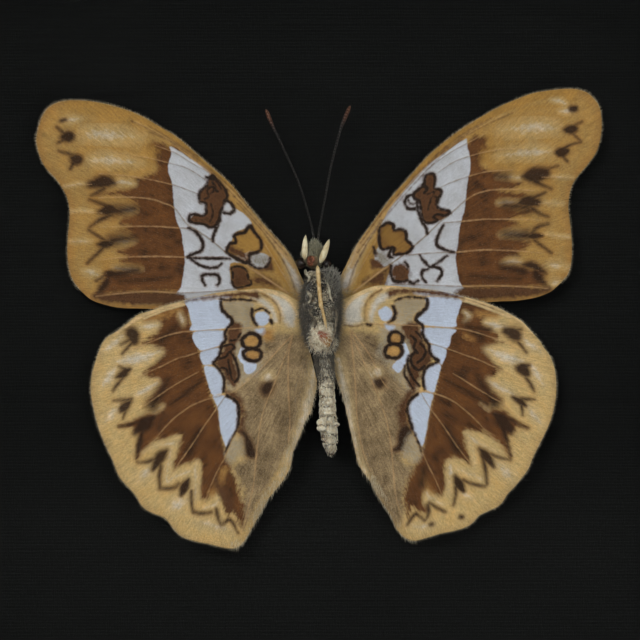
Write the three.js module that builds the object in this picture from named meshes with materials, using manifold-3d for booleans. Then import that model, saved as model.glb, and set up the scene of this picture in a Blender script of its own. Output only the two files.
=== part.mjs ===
// A butterfly specimen, pinned underside out on a ribbed black board, in a glazed shadow-box frame.
// Millimetres, +Z up, the frame stands on its bottom rail and its glass faces -Y.
import * as THREE from "three";
import { mergeVertices } from "three/addons/utils/BufferGeometryUtils.js";
import Module from "manifold-3d";

const wasm = await Module();
wasm.setup();

// The case
const frameSide = 150;
const railWidth = 15;
const railDepth = 29.6;
const rebateWidth = 5; // the lip that holds the glass
const lipDepth = 5;
const sightEdge = 3.2; // how far the inner edge of the front slopes back
const frontFlat = 9;
const edgeRound = 1.5;
const mitreGap = 0.04; // off each end of a rail or a spacer
const layGap = 0.1; // between the sheets of the pack
const fitGap = 0.3; // round the sheets, inside the rebate
const glassThick = 2;
const airDepth = 16;
const spacerWidth = 3.6;
const boardThick = 3;
const paperThick = 0.3;
const paperInset = 2;
const bumperHigh = 2.1;
const bumperRadius = 4;
const bumperInset = 8;

const totalDepth = railDepth + layGap + paperThick + bumperHigh;
const frontY = -totalDepth / 2;
const frameMiddle = frameSide / 2;
const sheetSide = frameSide - 2 * (railWidth - rebateWidth) - 2 * fitGap;
const glassY = frontY + lipDepth + layGap;
const spacerY = glassY + glassThick + layGap;
const boardY = spacerY + airDepth + layGap;
const backBoardY = boardY + boardThick + layGap;
const paperY = frontY + railDepth + layGap;
const paperBackY = paperY + paperThick;

// The hanger on the top rail
const hangerLong = 46;
const hangerHigh = 9;
const hangerSteel = 0.8;
const hangerRise = 1.1;
const hangerEnd = 8;
const hangerBend = 2.5;
const toothCount = 9;
const toothDeep = 1.6;
const hangerZ = frameSide - railWidth / 2 + 1;
const nailRadius = 0.7;
const nailHead = 1.6;
const nailLong = 9;

// The specimen. Outlines are [x, z] seen from the front, from the middle of the board,
// and a piece's lift is its height over the board.
const wingThick = 0.22;
const forewingReach = 38;
const hindwingReach = 32;
const wingRows = 3;
const veinRadius = 0.2;
const veinSink = 0.03;
const antennaRadius = 0.15;
const clubLong = 3.1;
const eyeRadius = 0.78;
const tongueRadius = 0.11;
const pinRadius = 0.25;
const pinAt = [0.2, 1.2];
const pinInBoard = 2.5;
const pinInThorax = 3.6;
const boreGap = 0.1;
const grooves = [-2.2, 2.45]; // the floors of the grooves that take the wing roots
const grooveLifts = [1.85, 3.85];

const MATERIALS = {
  ebonised: { color: 0x1d1916, roughness: 0.45, metalness: 0 },
  glass: { color: 0xe8f0ee, roughness: 0.03, metalness: 0, transparent: true, opacity: 0.2 },
  blackCard: { color: 0x141416, roughness: 0.9, metalness: 0 },
  ribbedCloth: { color: 0x1c1d20, roughness: 0.95, metalness: 0 },
  hardboard: { color: 0x6b4a2f, roughness: 0.8, metalness: 0 },
  kraft: { color: 0xa9825a, roughness: 0.9, metalness: 0 },
  steel: { color: 0xb9b6ad, roughness: 0.35, metalness: 1 },
  rubber: { color: 0x2a2a2b, roughness: 0.7, metalness: 0 },
  forewing: { color: 0xa07a4a, roughness: 0.8, metalness: 0 },
  hindwing: { color: 0x9a7850, roughness: 0.8, metalness: 0 },
  fur: { color: 0x6f6655, roughness: 0.95, metalness: 0 },
  paleScales: { color: 0xcdc3ab, roughness: 0.9, metalness: 0 },
  eye: { color: 0x24130c, roughness: 0.3, metalness: 0 },
  palp: { color: 0xd8c496, roughness: 0.8, metalness: 0 },
  tongue: { color: 0x8a3f14, roughness: 0.4, metalness: 0 },
  antenna: { color: 0x2b221a, roughness: 0.6, metalness: 0 },
  leg: { color: 0xcdb07a, roughness: 0.6, metalness: 0 },
};

const part = new THREE.Group();
const frame = new THREE.Group();
frame.position.z = frameMiddle;
part.add(frame);
const specimen = new THREE.Group();
specimen.position.set(0, boardY, frameMiddle);
part.add(specimen);

function finish(name) {
  return new THREE.MeshStandardMaterial(MATERIALS[name]);
}

function add(group, name, geometry, material) {
  const mesh = new THREE.Mesh(geometry, finish(material));
  mesh.name = name;
  group.add(mesh);
  return mesh;
}

function solidOf(geometry) {
  const bare = new THREE.BufferGeometry();
  bare.setAttribute("position", geometry.getAttribute("position").clone());
  if (geometry.index) bare.setIndex(geometry.index.clone());
  const merged = mergeVertices(bare, 1e-4);
  return new wasm.Manifold(
    new wasm.Mesh({
      numProp: 3,
      vertProperties: merged.attributes.position.array,
      triVerts: new Uint32Array(merged.index.array),
    }),
  );
}

function geometryOf(solid) {
  const mesh = solid.getMesh();
  const geometry = new THREE.BufferGeometry();
  geometry.setAttribute("position", new THREE.BufferAttribute(mesh.vertProperties, 3));
  geometry.setIndex(new THREE.BufferAttribute(mesh.triVerts, 1));
  return geometry;
}

function cut(geometry, ...tools) {
  return geometryOf(tools.reduce((solid, tool) => solid.subtract(solidOf(tool)), solidOf(geometry)));
}

function join(geometry, ...others) {
  return geometryOf(others.reduce((solid, other) => solid.add(solidOf(other)), solidOf(geometry)));
}

// Moves every vertex of a geometry to place(x, y, z).
function reshape(geometry, place) {
  const position = geometry.getAttribute("position");
  for (let i = 0; i < position.count; i++)
    position.setXYZ(i, ...place(position.getX(i), position.getY(i), position.getZ(i)));
  return geometry;
}

// A strip with mitred ends, one side of a square of the given half side.
function mitredStrip(profile, halfSide, y) {
  const bar = new THREE.ExtrudeGeometry(profile, {
    depth: 1,
    steps: 1,
    bevelEnabled: false,
    curveSegments: 4,
  });
  return reshape(bar, (inward, back, along) => [
    (0.5 - along) * 2 * (halfSide - inward - mitreGap),
    y + back,
    -halfSide + inward,
  ]);
}

function railProfile() {
  const shape = new THREE.Shape();
  const rebateEdge = railWidth - rebateWidth;
  shape.moveTo(0, railDepth);
  shape.lineTo(0, edgeRound);
  shape.absarc(edgeRound, edgeRound, edgeRound, Math.PI, 1.5 * Math.PI, false);
  shape.lineTo(frontFlat, 0);
  shape.quadraticCurveTo(frontFlat + 2.2, sightEdge, railWidth, sightEdge);
  shape.lineTo(railWidth, lipDepth);
  shape.lineTo(rebateEdge, lipDepth);
  shape.lineTo(rebateEdge, railDepth);
  shape.closePath();
  return shape;
}

function outline(points) {
  return new THREE.Shape(points.map((point) => new THREE.Vector2(...point)));
}

function rectangle(width, height) {
  return outline([[0, 0], [width, 0], [width, height], [0, height]]);
}

function turned(profile, sides) {
  return new THREE.LatheGeometry(profile.map((point) => new THREE.Vector2(...point)), sides);
}

function sheet(y, thick, side) {
  return new THREE.BoxGeometry(side, thick, side).translate(0, y + thick / 2, 0);
}

function rod(radius, y0, y1, x, z, sides = 12) {
  return new THREE.CylinderGeometry(radius, radius, y1 - y0, sides).translate(x, (y0 + y1) / 2, z);
}

const SIDES = ["bottom", "left", "top", "right"];
const nailX = hangerLong / 2 - hangerEnd / 2;

function addRails() {
  SIDES.forEach((side, turn) => {
    let rail = mitredStrip(railProfile(), frameMiddle, frontY);
    if (side === "top") {
      const railBack = frontY + railDepth;
      const bores = [-nailX, nailX].map((x) =>
        rod(nailRadius + boreGap, railBack - nailLong, railBack + 1, x, frameMiddle - hangerZ),
      );
      rail = cut(rail, ...bores);
    }
    const mesh = add(frame, `rail_${side}`, rail, "ebonised");
    mesh.rotation.y = (turn * Math.PI) / 2;
  });
}

function addSpacers() {
  SIDES.forEach((side, turn) => {
    const strip = mitredStrip(rectangle(spacerWidth, airDepth), sheetSide / 2, spacerY);
    const mesh = add(frame, `spacer_${side}`, strip, "blackCard");
    mesh.rotation.y = (turn * Math.PI) / 2;
  });
}

function addSheets() {
  add(frame, "glass", sheet(glassY, glassThick, sheetSide), "glass");
  const pinHole = rod(pinRadius + boreGap, boardY - 1, boardY + pinInBoard + boreGap, ...pinAt);
  add(frame, "mount_board", cut(sheet(boardY, boardThick, sheetSide), pinHole), "ribbedCloth");
  add(frame, "back_board", sheet(backBoardY, boardThick, sheetSide), "hardboard");
  const paperSide = frameSide - 2 * paperInset;
  const bores = [-nailX, nailX].map((x) =>
    rod(nailRadius + boreGap, paperY - 1, paperBackY + 1, x, hangerZ - frameMiddle),
  );
  add(frame, "dust_paper", cut(sheet(paperY, paperThick, paperSide), ...bores), "kraft");
}

// A steel strip, bent to stand off between its flat ends, with a row of teeth cut in its lower edge.
function hangerStrip() {
  const half = hangerLong / 2;
  const bends = [
    [half, 0],
    [half - hangerEnd + hangerBend, 0],
    [half - hangerEnd, hangerRise],
  ];
  const face = [...bends.map(([x, y]) => [-x, y]), ...bends.toReversed()];
  const rear = face.toReversed().map(([x, y]) => [x, y + hangerSteel]);
  const shape = outline([...face, ...rear]);
  const lowZ = hangerZ - frameMiddle - hangerHigh / 2;
  const seat = paperBackY + layGap;
  const bar = new THREE.ExtrudeGeometry(shape, { depth: hangerHigh, bevelEnabled: false });
  return { bar: bar.translate(0, seat, lowZ), lowZ, seat };
}

function hangerSaw(lowZ, seat) {
  const toothed = hangerLong / 2 - hangerEnd - 1;
  const pitch = (2 * toothed) / toothCount;
  const saw = [[-toothed, -1]];
  for (let i = 0; i < toothCount; i++) {
    const x = -toothed + i * pitch;
    saw.push([x, -0.1], [x + pitch / 2, toothDeep]);
  }
  saw.push([toothed, -0.1], [toothed, -1]);
  const blade = new THREE.ExtrudeGeometry(outline(saw), { depth: 6, bevelEnabled: false });
  return blade.rotateX(Math.PI / 2).translate(0, seat + 5, lowZ);
}

function addHanger() {
  const { bar, lowZ, seat } = hangerStrip();
  const bores = [-nailX, nailX].map((x) =>
    rod(nailRadius + boreGap, paperBackY - 1, paperBackY + 3, x, hangerZ - frameMiddle),
  );
  add(frame, "sawtooth_hanger", cut(bar, hangerSaw(lowZ, seat), ...bores), "steel");
  const seatY = paperBackY + 2 * layGap + hangerSteel;
  [-1, 1].forEach((side) => {
    const profile = [
      [0, -nailLong + 1],
      [nailRadius, -nailLong + 2],
      [nailRadius, 0],
      [nailHead, 0],
      [nailHead * 0.85, 0.45],
      [nailHead * 0.45, 0.7],
      [0, 0.75],
    ];
    const nail = turned(profile, 10);
    nail.translate(side * nailX, seatY, hangerZ - frameMiddle);
    add(frame, side < 0 ? "hanger_nail_left" : "hanger_nail_right", nail, "steel");
  });
}

function addBumpers() {
  [-1, 1].forEach((side) => {
    const profile = [
      [0, layGap],
      [bumperRadius, layGap],
      [bumperRadius, bumperHigh * 0.5],
      [bumperRadius * 0.86, bumperHigh * 0.9],
      [bumperRadius * 0.7, bumperHigh],
      [0, bumperHigh],
    ];
    const bumper = turned(profile, 16);
    bumper.translate(side * (frameMiddle - bumperInset), paperBackY, bumperInset - frameMiddle);
    add(frame, side < 0 ? "bumper_left" : "bumper_right", bumper, "rubber");
  });
}

// Wings: [x, z] along the margin from the front edge near the root, round the tip, to the hind edge.
const FOREWING_RIGHT = {
  base: [[2.6, 4.6], [2.6, 3.0]],
  margin: [
    [4.4, 9.0], [7.0, 13.3], [10, 17.3], [15, 22.8], [20, 26.95], [25, 29.9], [30, 31.8],
    [34, 32.4], [36.6, 32.15], [38.2, 31.1], [39.1, 29.2], [39.35, 27.0], [38.9, 24.4],
    [37.6, 21.9], [36, 20], [35.1, 18.4], [34.75, 16.4], [35.05, 13.5], [35.3, 10.4],
    [35.1, 7.8], [34.2, 5.6], [32.6, 4.0], [30, 3.0], [25.5, 2.45], [20, 1.9], [14, 1.5], [8, 1.7],
  ],
  veins: [
    [[4.6, 5.2], [8, 11.2], [13, 18.8], [20, 25], [27, 29.4]],
    [[4.3, 3.7], [9.3, 7.2], [13, 10.2], [18.3, 14.7], [20, 16.6], [24, 18.1], [34.6, 18.2]],
    [[12.8, 17.5], [16.8, 18.3], [20.8, 19.9], [26, 21], [35.5, 21.6]],
    [[16.8, 13.5], [20, 13.8], [26, 14.2], [34.8, 14.0]],
    [[12.2, 9.3], [18.3, 9.55], [26, 9.7], [34.9, 9.4]],
    [[16.8, 20.2], [19, 22], [23.5, 23.7], [38.2, 25.5]],
  ],
};
const FOREWING_LEFT = {
  base: [[-2.35, 4.4], [-2.35, 2.9]],
  margin: [
    [-3.5, 7.9], [-5.0, 10.0], [-7.5, 13.2], [-10, 16.3], [-15, 21.7], [-20, 25.7], [-25, 28.6],
    [-30, 30.3], [-35, 30.85], [-37.5, 30.3], [-38.9, 28.9], [-39.6, 27], [-39.8, 25.2],
    [-39.2, 22.8], [-38, 20.9], [-36.4, 18.9], [-35.5, 17], [-35.05, 15], [-35.2, 12.5],
    [-35.5, 10], [-35.3, 7.5], [-34.5, 5.3], [-33, 3.5], [-31, 2.4], [-28.5, 1.75],
    [-25.5, 1.6], [-20, 1.4], [-14, 1.2], [-8, 1.4],
  ],
  veins: [
    [[-4.2, 5], [-7.7, 10.8], [-12.6, 18], [-20, 24.2], [-27, 28]],
    [[-3.9, 3.5], [-9.2, 6.9], [-12.6, 9.0], [-18.6, 13.4], [-20.3, 15.6], [-25, 17], [-34.8, 17.1]],
    [[-12.8, 16.8], [-17.3, 17.7], [-21, 19], [-26, 20], [-35.8, 20.4]],
    [[-17, 12.8], [-20, 12.9], [-26, 13.1], [-34.9, 13.1]],
    [[-12.3, 8.7], [-18.9, 8.8], [-26, 8.8], [-35.1, 8.4]],
    [[-16.6, 19.6], [-19, 21.4], [-23.5, 22.6], [-38.6, 24]],
  ],
};
const HINDWING_RIGHT = {
  base: [[2.6, 1.9], [2.6, -2.6]],
  margin: [
    [4.3, 3.0], [6, 4.2], [9, 4.9], [12, 4.7], [15, 4.25], [18, 3.75], [20, 3.2], [22.5, 2.5],
    [25, 1.7], [27, 0.6], [28.5, -0.6], [30, -2.3], [31.2, -4.0], [32.4, -5.6], [33, -8.2],
    [33.1, -11], [32, -15], [30, -19], [28.5, -22.3], [26.5, -24.2], [25, -26.0], [22.3, -27.3],
    [20.6, -28.9], [18.5, -29.7], [16, -30.2], [13.6, -30.9], [11.6, -30.4], [10.4, -28.7],
    [8.7, -25.2], [5.6, -20.5], [4.3, -15.3], [3.2, -10.8], [2.3, -8.0],
  ],
  veins: [
    [[4.0, -1.2], [9, -0.6], [14, -0.8], [19, -1.2], [24.5, -2.6], [31.4, -4.5]],
    [[9, -1.0], [15, -3.2], [20.5, -4.9], [26, -7.6], [32.8, -10]],
    [[8.6, -4.4], [14, -6.0], [19, -7.6], [25, -11.6], [31.4, -16]],
    [[4.6, -2.2], [9.8, -6.6], [14, -9.9], [20, -11.8], [26, -16.6], [30, -18.6]],
    [[14.3, -10.2], [17.6, -14.6], [21, -20], [25.8, -25]],
    [[5, -3], [9.4, -9.6], [13.2, -16.2], [17, -24.2], [19.6, -29.2]],
    [[4, -4], [9.8, -17], [10.2, -20.5], [12, -28.6], [12.4, -30.4]],
  ],
};
const HINDWING_LEFT = {
  base: [[-2.35, 1.5], [-2.35, -2.8]],
  margin: [
    [-4.0, 2.9], [-6, 4.05], [-8, 4.35], [-11, 4.2], [-14, 3.9], [-17, 3.3], [-19.5, 2.75],
    [-22, 2.0], [-24, 1.3], [-26, 0.3], [-28, -1.2], [-29.8, -2.6], [-30.9, -4.6],
    [-31.7, -7], [-32.1, -9.8], [-31, -14.6], [-29.1, -19.2], [-27.5, -22.8], [-25.6, -24.9],
    [-24.2, -26.7], [-21.4, -28.2], [-20, -29.8], [-18.3, -30.8], [-15.5, -31.3],
    [-12.6, -32], [-11, -31.3], [-8.8, -28], [-6, -23.8], [-4.2, -20.8], [-3.7, -17.8],
    [-2.4, -14.8], [-1.2, -12], [-0.9, -8.6],
  ],
  veins: [
    [[-3.7, -1.4], [-9, -0.9], [-13, -1.2], [-18, -1.6], [-23, -3], [-30.6, -5]],
    [[-8.6, -1.4], [-14, -3.6], [-19, -4.9], [-25, -7.6], [-31.8, -10.2]],
    [[-8, -4.6], [-13, -6.6], [-18, -8], [-24, -11.8], [-30.6, -15.8]],
    [[-4.2, -2.4], [-9.4, -7.2], [-13, -10.3], [-18.6, -12.6], [-24, -17.6], [-28.4, -20.8]],
    [[-13.4, -10.6], [-16.2, -15.2], [-19.6, -20.6], [-24.6, -26.2]],
    [[-4.4, -3.4], [-8.6, -10], [-12.4, -17], [-16, -25], [-18.4, -30.4]],
    [[-3.4, -4.4], [-8.6, -17], [-9, -21], [-11, -29.6], [-11.4, -31.2]],
  ],
};

function forewingLift(x, z) {
  const s = Math.min(1, Math.hypot(x, z - 4) / forewingReach);
  return 2.3 + 0.4 * Math.sin(Math.PI * s) - 0.4 * s;
}

function hindwingLift(x, z) {
  const s = Math.min(1, Math.hypot(x, z) / hindwingReach);
  return 3.5 + 0.3 * Math.sin(Math.PI * s) - 1.1 * s;
}

// A thin sheet between the base line and the margin, with its veins as ridges on the underside.
function wing({ base, margin, veins }, lift) {
  const right = base[0][0] > 0;
  const columns = margin.length - 1;
  const blank = new THREE.BoxGeometry(1, 1, 1, columns, wingRows, 1);
  const membrane = reshape(blank, (a, b, c) => {
    const along = right ? a + 0.5 : 0.5 - a;
    const rim = margin[Math.round(along * columns)];
    const [x, z] = [0, 1].map((i) =>
      THREE.MathUtils.lerp(THREE.MathUtils.lerp(base[0][i], base[1][i], along), rim[i], b + 0.5),
    );
    return [x, -lift(x, z) + wingThick * (0.5 - c), z];
  });
  const ridges = veins.map((line) => {
    const path = route(line.map(([x, z]) => [x, z, lift(x, z) - veinSink]));
    return tube(path, veinRadius, 3, line.length + 1);
  });
  return join(membrane, ...ridges);
}

// Points [x, z, lift] as a smooth curve.
function route(points) {
  return new THREE.CatmullRomCurve3(points.map(([x, z, lift]) => new THREE.Vector3(x, -lift, z)));
}

function tube(path, radius, sides, steps) {
  const ring = Array.from({ length: sides }, (_, i) => (i / sides) * 2 * Math.PI);
  const section = outline(ring.map((turn) => [radius * Math.cos(turn), radius * Math.sin(turn)]));
  return new THREE.ExtrudeGeometry(section, { steps, bevelEnabled: false, extrudePath: path });
}

// A soft round form through stations [x, z, lift, half width, half depth], the highest first.
function plump(stations, sides, steps, lump = 0) {
  const middle = route(stations);
  const size = new THREE.SplineCurve(stations.map((s) => new THREE.Vector2(s[3], s[4])));
  const blank = new THREE.CylinderGeometry(1, 1, 1, sides, steps);
  return reshape(blank, (a, b, c) => {
    const along = 0.5 - b;
    const at = middle.getPoint(along);
    const half = size.getPoint(along);
    const swell = 1 + lump * Math.sin(3 * Math.atan2(c, a) + 9 * along);
    return [at.x + a * half.x * swell, at.y - c * half.y * swell, at.z];
  });
}

// A jointed limb through points [x, z, lift, radius], its pieces overlapping at the joints.
function limb(points) {
  const place = ([x, z, lift]) => new THREE.Vector3(x, -lift, z);
  const up = new THREE.Vector3(0, 1, 0);
  const bones = points.slice(1).map((end, i) => {
    const from = place(points[i]);
    const span = place(end).sub(from);
    const overlap = end[3] / 2;
    const bone = new THREE.CylinderGeometry(end[3], points[i][3], span.length() + 2 * overlap, 5);
    const turn = new THREE.Quaternion().setFromUnitVectors(up, span.clone().normalize());
    return bone.applyQuaternion(turn).translate(...from.addScaledVector(span, 0.5).toArray());
  });
  return join(...bones);
}

function ball(radius, [x, z, lift], stretch = [1, 1, 1], detail = 1) {
  return new THREE.IcosahedronGeometry(radius, detail).scale(...stretch).translate(x, -lift, z);
}

function addWings() {
  add(specimen, "forewing_right", wing(FOREWING_RIGHT, forewingLift), "forewing");
  add(specimen, "forewing_left", wing(FOREWING_LEFT, forewingLift), "forewing");
  add(specimen, "hindwing_right", wing(HINDWING_RIGHT, hindwingLift), "hindwing");
  add(specimen, "hindwing_left", wing(HINDWING_LEFT, hindwingLift), "hindwing");
}

const EYES = { left: [-2.62, 7.95, 4.2], right: [0.8, 7.85, 4.2] };

function addHead() {
  const skull = plump(
    [
      [-0.8, 10.9, 4.4, 0.15, 0.15],
      [-0.8, 10.3, 4.3, 0.65, 0.6],
      [-0.85, 9.5, 4.1, 1.25, 1.15],
      [-0.9, 8.7, 4.0, 1.6, 1.4],
      [-0.85, 7.9, 4.0, 1.4, 1.3],
      [-0.7, 7.1, 3.9, 0.55, 0.6],
    ],
    10,
    8,
    0.04,
  );
  const sockets = Object.values(EYES).map((at) => ball(eyeRadius + boreGap, at));
  add(specimen, "head", cut(skull, ...sockets), "fur");
  Object.entries(EYES).forEach(([side, at]) => add(specimen, `eye_${side}`, ball(eyeRadius, at), "eye"));
  const palps = {
    left: [[-2.0, 11.9, 5.3, 0.08, 0.08], [-2.08, 10.8, 5.6, 0.36, 0.34], [-2.12, 9.6, 5.8, 0.44, 0.42],
      [-2.1, 8.4, 5.7, 0.3, 0.3]],
    right: [[1.3, 11.3, 5.3, 0.08, 0.08], [0.95, 10.3, 5.6, 0.36, 0.34], [0.5, 9.1, 5.9, 0.44, 0.42],
      [0.0, 7.9, 5.8, 0.3, 0.3]],
  };
  for (const side of ["left", "right"])
    add(specimen, `palp_${side}`, plump(palps[side], 8, 6), "palp");
}

// The coiled tongue between the palps, turned part way to the front.
function addProboscis() {
  class Coil extends THREE.Curve {
    getPoint(t, target = new THREE.Vector3()) {
      const turn = 3.4 * Math.PI * t;
      const radius = 0.5 - 0.34 * t;
      return target.set(0.12 * t, radius * Math.cos(turn), radius * Math.sin(turn));
    }
  }
  const coil = tube(new Coil(), tongueRadius, 5, 22);
  coil.rotateZ(-0.9).translate(-1.3, -6.15, 8.15);
  add(specimen, "proboscis", coil, "tongue");
}

function addAntennae() {
  const shafts = {
    left: [[-0.7, 10.5, 3.1], [-1.25, 13.4, 3.3], [-2.9, 19, 3.4], [-4.9, 23.5, 3.3], [-6.6, 27, 3.1]],
    right: [[-0.35, 10.5, 3.1], [0, 13.2, 3.3], [0.8, 17.5, 3.4], [1.55, 21.5, 3.4], [3.1, 27.3, 3.1]],
  };
  const clubEnds = { left: [-7.6, 29.5, 2.9], right: [4.25, 30, 2.9] };
  for (const side of ["left", "right"]) {
    const path = route(shafts[side]);
    const [x, z, lift] = clubEnds[side];
    const root = path.getPoint(1);
    const axis = new THREE.Vector3(x, -lift, z).sub(root).normalize();
    const profile = [[0, -0.25], [0.14, -0.2], [0.2, 0.6], [0.38, 1.7], [0.36, 2.4], [0, clubLong]];
    const club = turned(profile, 7);
    club.applyQuaternion(new THREE.Quaternion().setFromUnitVectors(new THREE.Vector3(0, 1, 0), axis));
    club.translate(...root.toArray());
    add(specimen, `antenna_${side}`, join(tube(path, antennaRadius, 5, 16), club), "antenna");
  }
}

function addBody() {
  const trunk = plump(
    [
      [-0.25, 6.85, 3.9, 0.7, 0.8],
      [0.2, 6.2, 3.9, 1.75, 1.9],
      [0.2, 4.6, 3.85, 2.4, 2.6],
      [0.12, 2.4, 3.8, 2.72, 2.95],
      [0.1, 0, 3.8, 2.7, 2.95],
      [0.2, -2.4, 3.9, 2.2, 2.6],
      [0.5, -4.0, 4.1, 1.5, 1.9],
      [0.7, -4.8, 4.2, 0.8, 1.2],
    ],
    12,
    11,
    0.03,
  );
  const coxae = ball(1.9, [0.3, -2.7, 5.2], [1.05, 0.85, 1]);
  const shoulder = ball(1.1, [1.6, 6.0, 5.0], [1.05, 0.9, 0.95]);
  const bore = rod(pinRadius + boreGap, -pinInThorax - boreGap, 0.5, ...pinAt);
  const [low, high] = grooveLifts;
  const slots = grooves.map((floor) =>
    new THREE.BoxGeometry(3, high - low, 9.6)
      .translate(floor + 1.5 * Math.sign(floor), -(low + high) / 2, 0.8),
  );
  const thorax = cut(join(trunk, coxae, shoulder), bore, ...slots);
  add(specimen, "thorax", thorax, "fur");
  const abdomen = plump(
    [
      [0.75, -5.0, 4.2, 0.8, 1.1],
      [0.8, -6.4, 4.4, 1.0, 1.45],
      [0.95, -9.6, 4.3, 1.02, 1.6],
      [1.1, -13, 3.9, 1.1, 1.55],
      [1.25, -15.4, 3.3, 1.12, 1.4],
      [1.45, -17.6, 2.5, 0.9, 1.1],
      [1.6, -18.9, 1.9, 0.35, 0.45],
    ],
    10,
    13,
    0.05,
  );
  add(specimen, "abdomen", abdomen, "paleScales");
}

// The legs lie folded over the underside of the thorax, the fore pair much reduced.
function addLegs() {
  const legs = {
    leg_fore_left: [[-2.05, 7.1, 5.6, 0.2], [-1.95, 6.3, 6.0, 0.24], [-1.85, 5.2, 6.35, 0.2]],
    leg_fore_right: [[0.95, 5.25, 7.15, 0.2], [1.3, 3.8, 7.15, 0.24], [1.85, 2.45, 6.85, 0.16]],
    leg_mid_left: [[-1.9, 4.1, 6.65, 0.24], [-1.2, 3.2, 7.2, 0.26], [-1.55, 2.35, 7.0, 0.2]],
    leg_mid_right: [[-0.35, 7.0, 6.75, 0.3], [-0.1, 4.8, 7.3, 0.38], [0.15, 2.0, 7.45, 0.32],
      [0.95, -1.25, 7.6, 0.2]],
    leg_hind_left: [[-1.0, 1.75, 7.15, 0.26], [-1.4, 0.95, 7.1, 0.28], [-0.7, -0.2, 7.2, 0.24],
      [-0.8, -1.2, 7.3, 0.18]],
    leg_hind_right: [[2.2, 1.7, 6.35, 0.22], [2.3, -0.6, 6.3, 0.28], [1.95, -2.6, 6.95, 0.22],
      [1.1, -4.4, 7.0, 0.14]],
  };
  for (const [name, points] of Object.entries(legs)) add(specimen, name, limb(points), "leg");
}

// A cut pin, hidden by the body: its head end in the thorax and its point in the board.
function addPin() {
  const profile = [
    [0, -pinInThorax],
    [pinRadius, -pinInThorax],
    [pinRadius, pinInBoard - 0.9],
    [0, pinInBoard],
  ];
  add(specimen, "insect_pin", turned(profile, 12).translate(pinAt[0], 0, pinAt[1]), "steel");
}

addRails();
addSpacers();
addSheets();
addHanger();
addBumpers();
addWings();
addBody();
addHead();
addProboscis();
addAntennae();
addLegs();
addPin();

export default part;
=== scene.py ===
import bpy
import bmesh
import math
import numpy as np
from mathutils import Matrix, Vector


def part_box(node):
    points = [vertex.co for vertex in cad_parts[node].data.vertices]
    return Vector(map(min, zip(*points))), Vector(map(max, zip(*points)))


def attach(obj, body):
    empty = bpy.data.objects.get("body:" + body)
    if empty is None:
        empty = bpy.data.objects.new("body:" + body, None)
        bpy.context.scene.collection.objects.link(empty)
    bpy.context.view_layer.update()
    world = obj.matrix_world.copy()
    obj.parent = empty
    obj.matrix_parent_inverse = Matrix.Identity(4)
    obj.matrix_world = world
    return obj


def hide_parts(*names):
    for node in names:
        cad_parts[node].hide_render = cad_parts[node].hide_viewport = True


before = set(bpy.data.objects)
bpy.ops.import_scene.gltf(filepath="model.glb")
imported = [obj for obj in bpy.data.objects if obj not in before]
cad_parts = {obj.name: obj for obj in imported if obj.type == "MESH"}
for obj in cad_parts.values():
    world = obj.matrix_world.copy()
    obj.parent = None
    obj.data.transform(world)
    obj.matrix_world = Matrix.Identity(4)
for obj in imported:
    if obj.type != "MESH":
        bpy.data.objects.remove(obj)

# A spread butterfly, underside out, pinned on ribbed black cloth in a small glazed shadow box
print("loaded the frame")
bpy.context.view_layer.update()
mm = 0.001
boardLow, boardHigh = [np.array(corner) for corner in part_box("mount_board")]
boardFace = boardLow[1]
midHeight = (boardLow[2] + boardHigh[2]) / 2


def paint(red, green, blue):
    # screen values from 0 to 255 as the colour a socket takes
    channels = [value / 255 for value in (red, green, blue)]
    return tuple(c / 12.92 if c < 0.04 else ((c + 0.055) / 1.055) ** 2.4 for c in channels) + (1,)


# Node trees written as Python

class Wire:
    # one output socket, so that sums on it add Math nodes

    def __init__(self, tree, socket):
        self.tree = tree
        self.socket = socket

    def __add__(self, other):
        return self.tree.maths("ADD", self, other)

    __radd__ = __add__

    def __sub__(self, other):
        return self.tree.maths("SUBTRACT", self, other)

    def __rsub__(self, other):
        return self.tree.maths("SUBTRACT", other, self)

    def __mul__(self, other):
        return self.tree.maths("MULTIPLY", self, other)

    __rmul__ = __mul__

    def clamped(self):
        return self.tree.maths("ADD", self, 0, clamp=True)

    def sway(self, gain):
        # noise moved to lie about zero
        return (self - 0.5) * gain

    def strong(self, gain=3.0):
        # noise stretched about its middle
        return (self.sway(gain) + 0.5).clamped()

    def other(self, key):
        # another output of the same node
        return Wire(self.tree, self.tree.find(self.socket.node.outputs, key))

    def stepped(self, low, high):
        # 0 below low and 1 above high, smooth between
        return self.tree.add(
            "ShaderNodeMapRange",
            {"interpolation_type": "SMOOTHSTEP"},
            {"Value": self, "From Min": low, "From Max": high},
        )


class Tree:
    # a node tree, with the short ways to add to it

    def __init__(self, tree):
        self.tree = tree

    def add(self, kind, settings=None, sockets=None, out=0):
        node = self.tree.nodes.new(kind)
        for name, value in (settings or {}).items():
            setattr(node, name, value)
        for key, value in (sockets or {}).items():
            socket = self.find(node.inputs, key)
            if isinstance(value, Wire):
                self.tree.links.new(value.socket, socket)
            else:
                socket.default_value = value
        return Wire(self, self.find(node.outputs, out))

    def find(self, sockets, key):
        if isinstance(key, int):
            return sockets[key]
        return next(socket for socket in sockets if key in (socket.identifier, socket.name))

    def maths(self, operation, first, second, clamp=False):
        settings = {"operation": operation, "use_clamp": clamp}
        return self.add("ShaderNodeMath", settings, {0: first, 1: second})

    def vector(self, operation, first, second):
        return self.add("ShaderNodeVectorMath", {"operation": operation}, {0: first, 1: second})

    def scaled(self, first, factor):
        return self.add("ShaderNodeVectorMath", {"operation": "SCALE"}, {0: first, "Scale": factor})


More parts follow.
